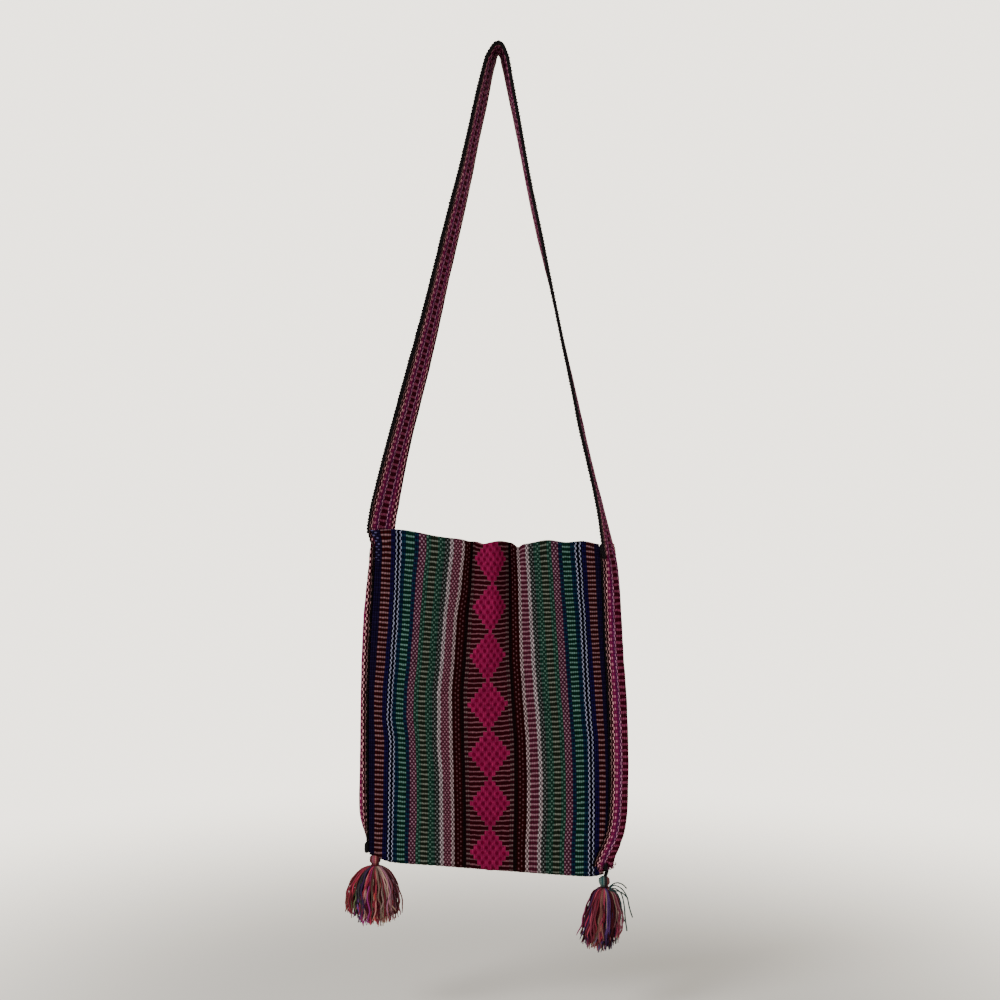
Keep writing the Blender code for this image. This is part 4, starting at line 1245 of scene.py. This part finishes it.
# How a yarn falls: how much shorter the outer ones are, by what share of its length it is fully
# out, and how far it starts from the middle, bulges and rises at the neck, and wanders
fallValues = {"shorter": 0.22, "outBy": 0.85, "start": 0.0030, "bulge": 0.0022, "rise": 0.0010,
              "wander": 0.0044, "hang": 1.12}
# How much the locks differ, and the single yarns within them
skirtValues = {"lockTurn": 0.2, "lockSwirl": 0.42, "lockLength": (0.95, 1.02), "sameColour": 0.5,
               "aside": 0.0017, "turn": 0.16, "share": (0.90, 1.05), "swirl": 0.12,
               "length": (0.90, 1.05), "tone": (0.56, 1.44), "tint": (0.95, 1.05),
               "size": (0.80, 1.15), "endFrom": 0.85, "endThin": 0.45}
yarnSlots = {}


def slotMaterial(name):
    if name not in yarnSlots:
        yarnSlots[name] = yarnMaterial(name.capitalize() + " yarn")
    return yarnSlots[name]


def buildHead(side):
    # loops of yarn over the tie, pinched at the neck, and the winding round the neck
    v, f = tasselForm, tasselForm[side]
    top, radius = f["top"], v["headRadius"] - v["arcYarn"] * 0.55
    names = headColours[side]
    strands = []
    for k, name in enumerate(names):
        aside = (2 * (k + 0.5) / len(names) - 1) * v["arcSpread"]
        wide = radius * sqrt(1 - aside * aside)
        points = []
        neck = v["neckRadius"] / v["headRadius"]
        for face, leg in ((-1, (1, 0.75, 0.5, 0.25, 0)), (1, (0, 0.25, 0.5, 0.75, 1))):
            for down in leg:
                pinch = 1 + (neck - 1) * ease(down)
                z = -v["headRadius"] - (v["headHeight"] - v["headRadius"]) * down
                points.append(Vector((aside * radius * pinch, face * wide * pinch, z)))
            if face < 0:
                for n in range(1, 8):
                    turn = pi * n / 8
                    points.append(Vector((aside * radius, -wide * cos(turn),
                                          -v["headRadius"] + wide * sin(turn))))
        strands.append(([top + point for point in points], v["arcYarn"], strandDyes[name][1]))
    depths, radii = zip(*v["coreForm"], (v["headHeight"], v["coreNeck"]),
                        (v["headHeight"] + neckLength, v["coreNeck"]))
    core = [top + Vector((0, 0, -z)) for z in depths]
    strands.append((core, radii, v["coreColour"]))
    made = tubes(side + "_tassel_loops", strands, slotMaterial(f["headSlot"]), 8)
    settle(made, side + "_tassel", f["headSlot"] + "_yarn", side + "_tassel_head")
    ring = []
    count = v["windingTurns"] * 12
    for k in range(count + 1):
        turn = 2 * pi * k / 12
        z = -v["headHeight"] - 0.0004 - (neckLength - 0.0006) * k / count
        ring.append(top + Vector((v["windingReach"] * cos(turn), v["windingReach"] * sin(turn), z)))
    bound = tubes(side + "_tassel_winding", [(ring, v["windingYarn"], f["winding"])], seamYarn, 8)
    settle(bound, side + "_tassel", "seam_yarn", side + "_tassel_binding")


def fallingStrand(side, turn, share, swirl, long, seed, aside):
    # from under the binding outwards and down; aside is its place within its lock
    f, w = tasselForm[side], fallValues
    reach = f["reach"]
    way = Vector((cos(turn), sin(turn), 0))
    wide = reach[1] if way.x > 0 else reach[0]
    tip = Vector((wide * way.x, reach[2] * way.y, 0)) * share
    fall = f["length"] * (1 - w["shorter"] * share ** 3) * long
    startZ = -tasselForm["headHeight"] - neckLength * 0.8
    points = []
    for k in range(tasselForm["steps"] + 1):
        at = k / tasselForm["steps"]
        out = 1 - (1 - min(at / w["outBy"], 1)) ** 3
        place = (way * w["start"] * share).lerp(tip, out)
        place += way * w["bulge"] * f["swell"] * share * sin(pi * min(1, at * 3.6))
        sway = swirl * at * at
        lean = f["lean"][0] + f["lean"][1] * way.x * share
        place = Vector((place.x * cos(sway) - place.y * sin(sway) + lean * at * at,
                        place.x * sin(sway) + place.y * cos(sway), 0))
        place += aside * (0.25 + 0.75 * at)
        wander = Vector((wobble(at * 4.5, seed, 1), wobble(at * 4.5, seed, 2), 0))
        place += wander * w["wander"] * at
        rise = w["rise"] * f["swell"] * share * sin(pi * min(1, at * 5))
        points.append(f["top"] + place + Vector((0, 0, startZ - fall * at ** w["hang"] + rise)))
    return points


def buildSkirt(side):
    # locks of a few yarns of one colour, from the tassel's middle outwards
    v, f, w = tasselForm, tasselForm[side], skirtValues
    rng = Random(f["seed"])
    byDye = {}
    for clump in range(v["clumps"]):
        share = sqrt((clump + 0.5) / v["clumps"])
        turn = clump * goldenTurn + rng.uniform(-w["lockTurn"], w["lockTurn"])
        at = share * cos(turn)
        names = next(names for limit, names in skirtColours[side] if at < limit)
        swirl, long = rng.uniform(-w["lockSwirl"], w["lockSwirl"]), rng.uniform(*w["lockLength"])
        name = rng.choice(names)
        for _ in range(v["perClump"]):
            own = name if rng.random() < w["sameColour"] else rng.choice(names)
            slotName, colour = strandDyes[own]
            aside = Vector((rng.gauss(0, w["aside"]), rng.gauss(0, w["aside"]), 0))
            ownTurn = turn + rng.uniform(-w["turn"], w["turn"])
            ownShare = share * rng.uniform(*w["share"])
            ownSwirl = swirl + rng.uniform(-w["swirl"], w["swirl"])
            ownLength = long * rng.uniform(*w["length"])
            points = fallingStrand(side, ownTurn, ownShare, ownSwirl, ownLength,
                                   rng.uniform(0, 90), aside)
            tone = f["glow"] * rng.uniform(*w["tone"])
            colour = [c * tone * rng.uniform(*w["tint"]) for c in colour]
            size = v["strand"] * rng.uniform(*w["size"])
            thin = [max(0, i / v["steps"] - w["endFrom"]) / (1 - w["endFrom"])
                    for i in range(v["steps"] + 1)]
            radii = [size * (1 - w["endThin"] * t) for t in thin]
            byDye.setdefault(slotName, []).append((points, radii, colour))
    if side == "right":
        for k, stray in enumerate(strayYarns):
            front = strayValues["front"] + strayValues["step"] * k
            points = [Vector((x / 1000, front, -z / 1000)) for x, z in stray]
            byDye["teal"].append((rounded(points), strayValues["yarn"], strayValues["colour"]))
    locks = lockSlots[side]
    groups = {}
    for slotName, strands in byDye.items():
        lock = slotName if slotName in locks else nearestSlot[slotName]
        groups.setdefault(lock, []).extend(strands)
    for slotName, strands in groups.items():
        nodes = [f"{side}_tassel_yarns_{number:02d}" for number in range(1, 20)
                 if locks[number % 6] == slotName]
        made = tubes(f"{side}_tassel_{slotName}_strands", strands, slotMaterial(slotName))
        settle(made, side + "_tassel", slotName + "_yarn", *nodes)
    return groups


for sideName in ("left", "right"):
    buildHead(sideName)
    groups = buildSkirt(sideName)
    print("Tassel", sideName, {name: len(strands) for name, strands in groups.items()})


# Camera, light and floor
# key, fill and back: each lamp's place, size and power. fade: where the floor starts to fade and
# by what share of its radius it is gone.
stageValues = {
    "camera": (0.00168, -1.6, -0.47985), "lens": 54.86, "target": (-0.01, 0, -0.62),
    "floor": -1.02, "floorRadius": 1.4, "fade": (0.25, 0.95),
    "world": (0.90, 0.84, 0.74), "seen": 3.5, "worldStrength": 0.60,
    "floorColour": (0.80, 0.78, 0.74),
    "key": ((-1.5, -1.2, 0.75), 1.1, 34), "fill": ((1.5, -1.2, -0.3), 1.4, 5),
    "back": ((0.5, 1.6, 0.5), 1.4, 12),
}


def buildStage():
    v = stageValues
    camera = bpy.data.objects.new("Camera", bpy.data.cameras.new("Camera"))
    camera.data.lens = v["lens"]
    camera.location = v["camera"]
    camera.rotation_euler = (pi / 2, 0, 0)
    bpy.context.scene.collection.objects.link(camera)
    bpy.context.scene.camera = camera
    for name in ("key", "fill", "back"):
        place, size, power = v[name]
        lamp = bpy.data.lights.new(name.capitalize() + " light", "AREA")
        lamp.shape = "DISK"
        lamp.size = size
        lamp.energy = power
        made = bpy.data.objects.new(lamp.name, lamp)
        made.location = place
        way = Vector(v["target"]) - made.location
        made.rotation_euler = way.to_track_quat("-Z", "Y").to_euler()
        bpy.context.scene.collection.objects.link(made)
    world = bpy.data.worlds.new("Pale surroundings")
    world.use_nodes = True
    bpy.context.scene.world = world
    sky = world.node_tree.nodes["Background"]
    sky.inputs["Color"].default_value = (*v["world"], 1)
    rays = world.node_tree.nodes.new("ShaderNodeLightPath")
    strength = Maths(world.node_tree).between(rays.outputs["Is Camera Ray"], v["worldStrength"],
                                              v["seen"])
    world.node_tree.links.new(strength, sky.inputs["Strength"])
    mesh = bpy.data.meshes.new("Floor")
    sides = 96
    ring = [(v["floorRadius"] * cos(2 * pi * k / sides), v["floorRadius"] * sin(2 * pi * k / sides),
             v["floor"]) for k in range(sides)]
    mesh.from_pydata(ring, [], [list(range(sides))])
    floor = bpy.data.objects.new("Floor", mesh)
    bpy.context.scene.collection.objects.link(floor)
    made = bpy.data.materials.new("Pale floor")
    made.use_nodes = True
    tree = made.node_tree
    m = Maths(tree)
    shader = tree.nodes["Principled BSDF"]
    shader.inputs["Base Color"].default_value = (*v["floorColour"], 1)
    shader.inputs["Roughness"].default_value = 0.9
    shader.inputs["Specular IOR Level"].default_value = 0.1
    spot = tree.nodes.new("ShaderNodeNewGeometry")
    parts = m.parts(spot.outputs["Position"])
    start, end = v["fade"]
    fade = m.smooth(m.distance(parts[0], parts[1]), start, v["floorRadius"] * end, 1.0, 0.0)
    tree.links.new(fade, shader.inputs["Alpha"])
    mesh.materials.append(made)


buildStage()
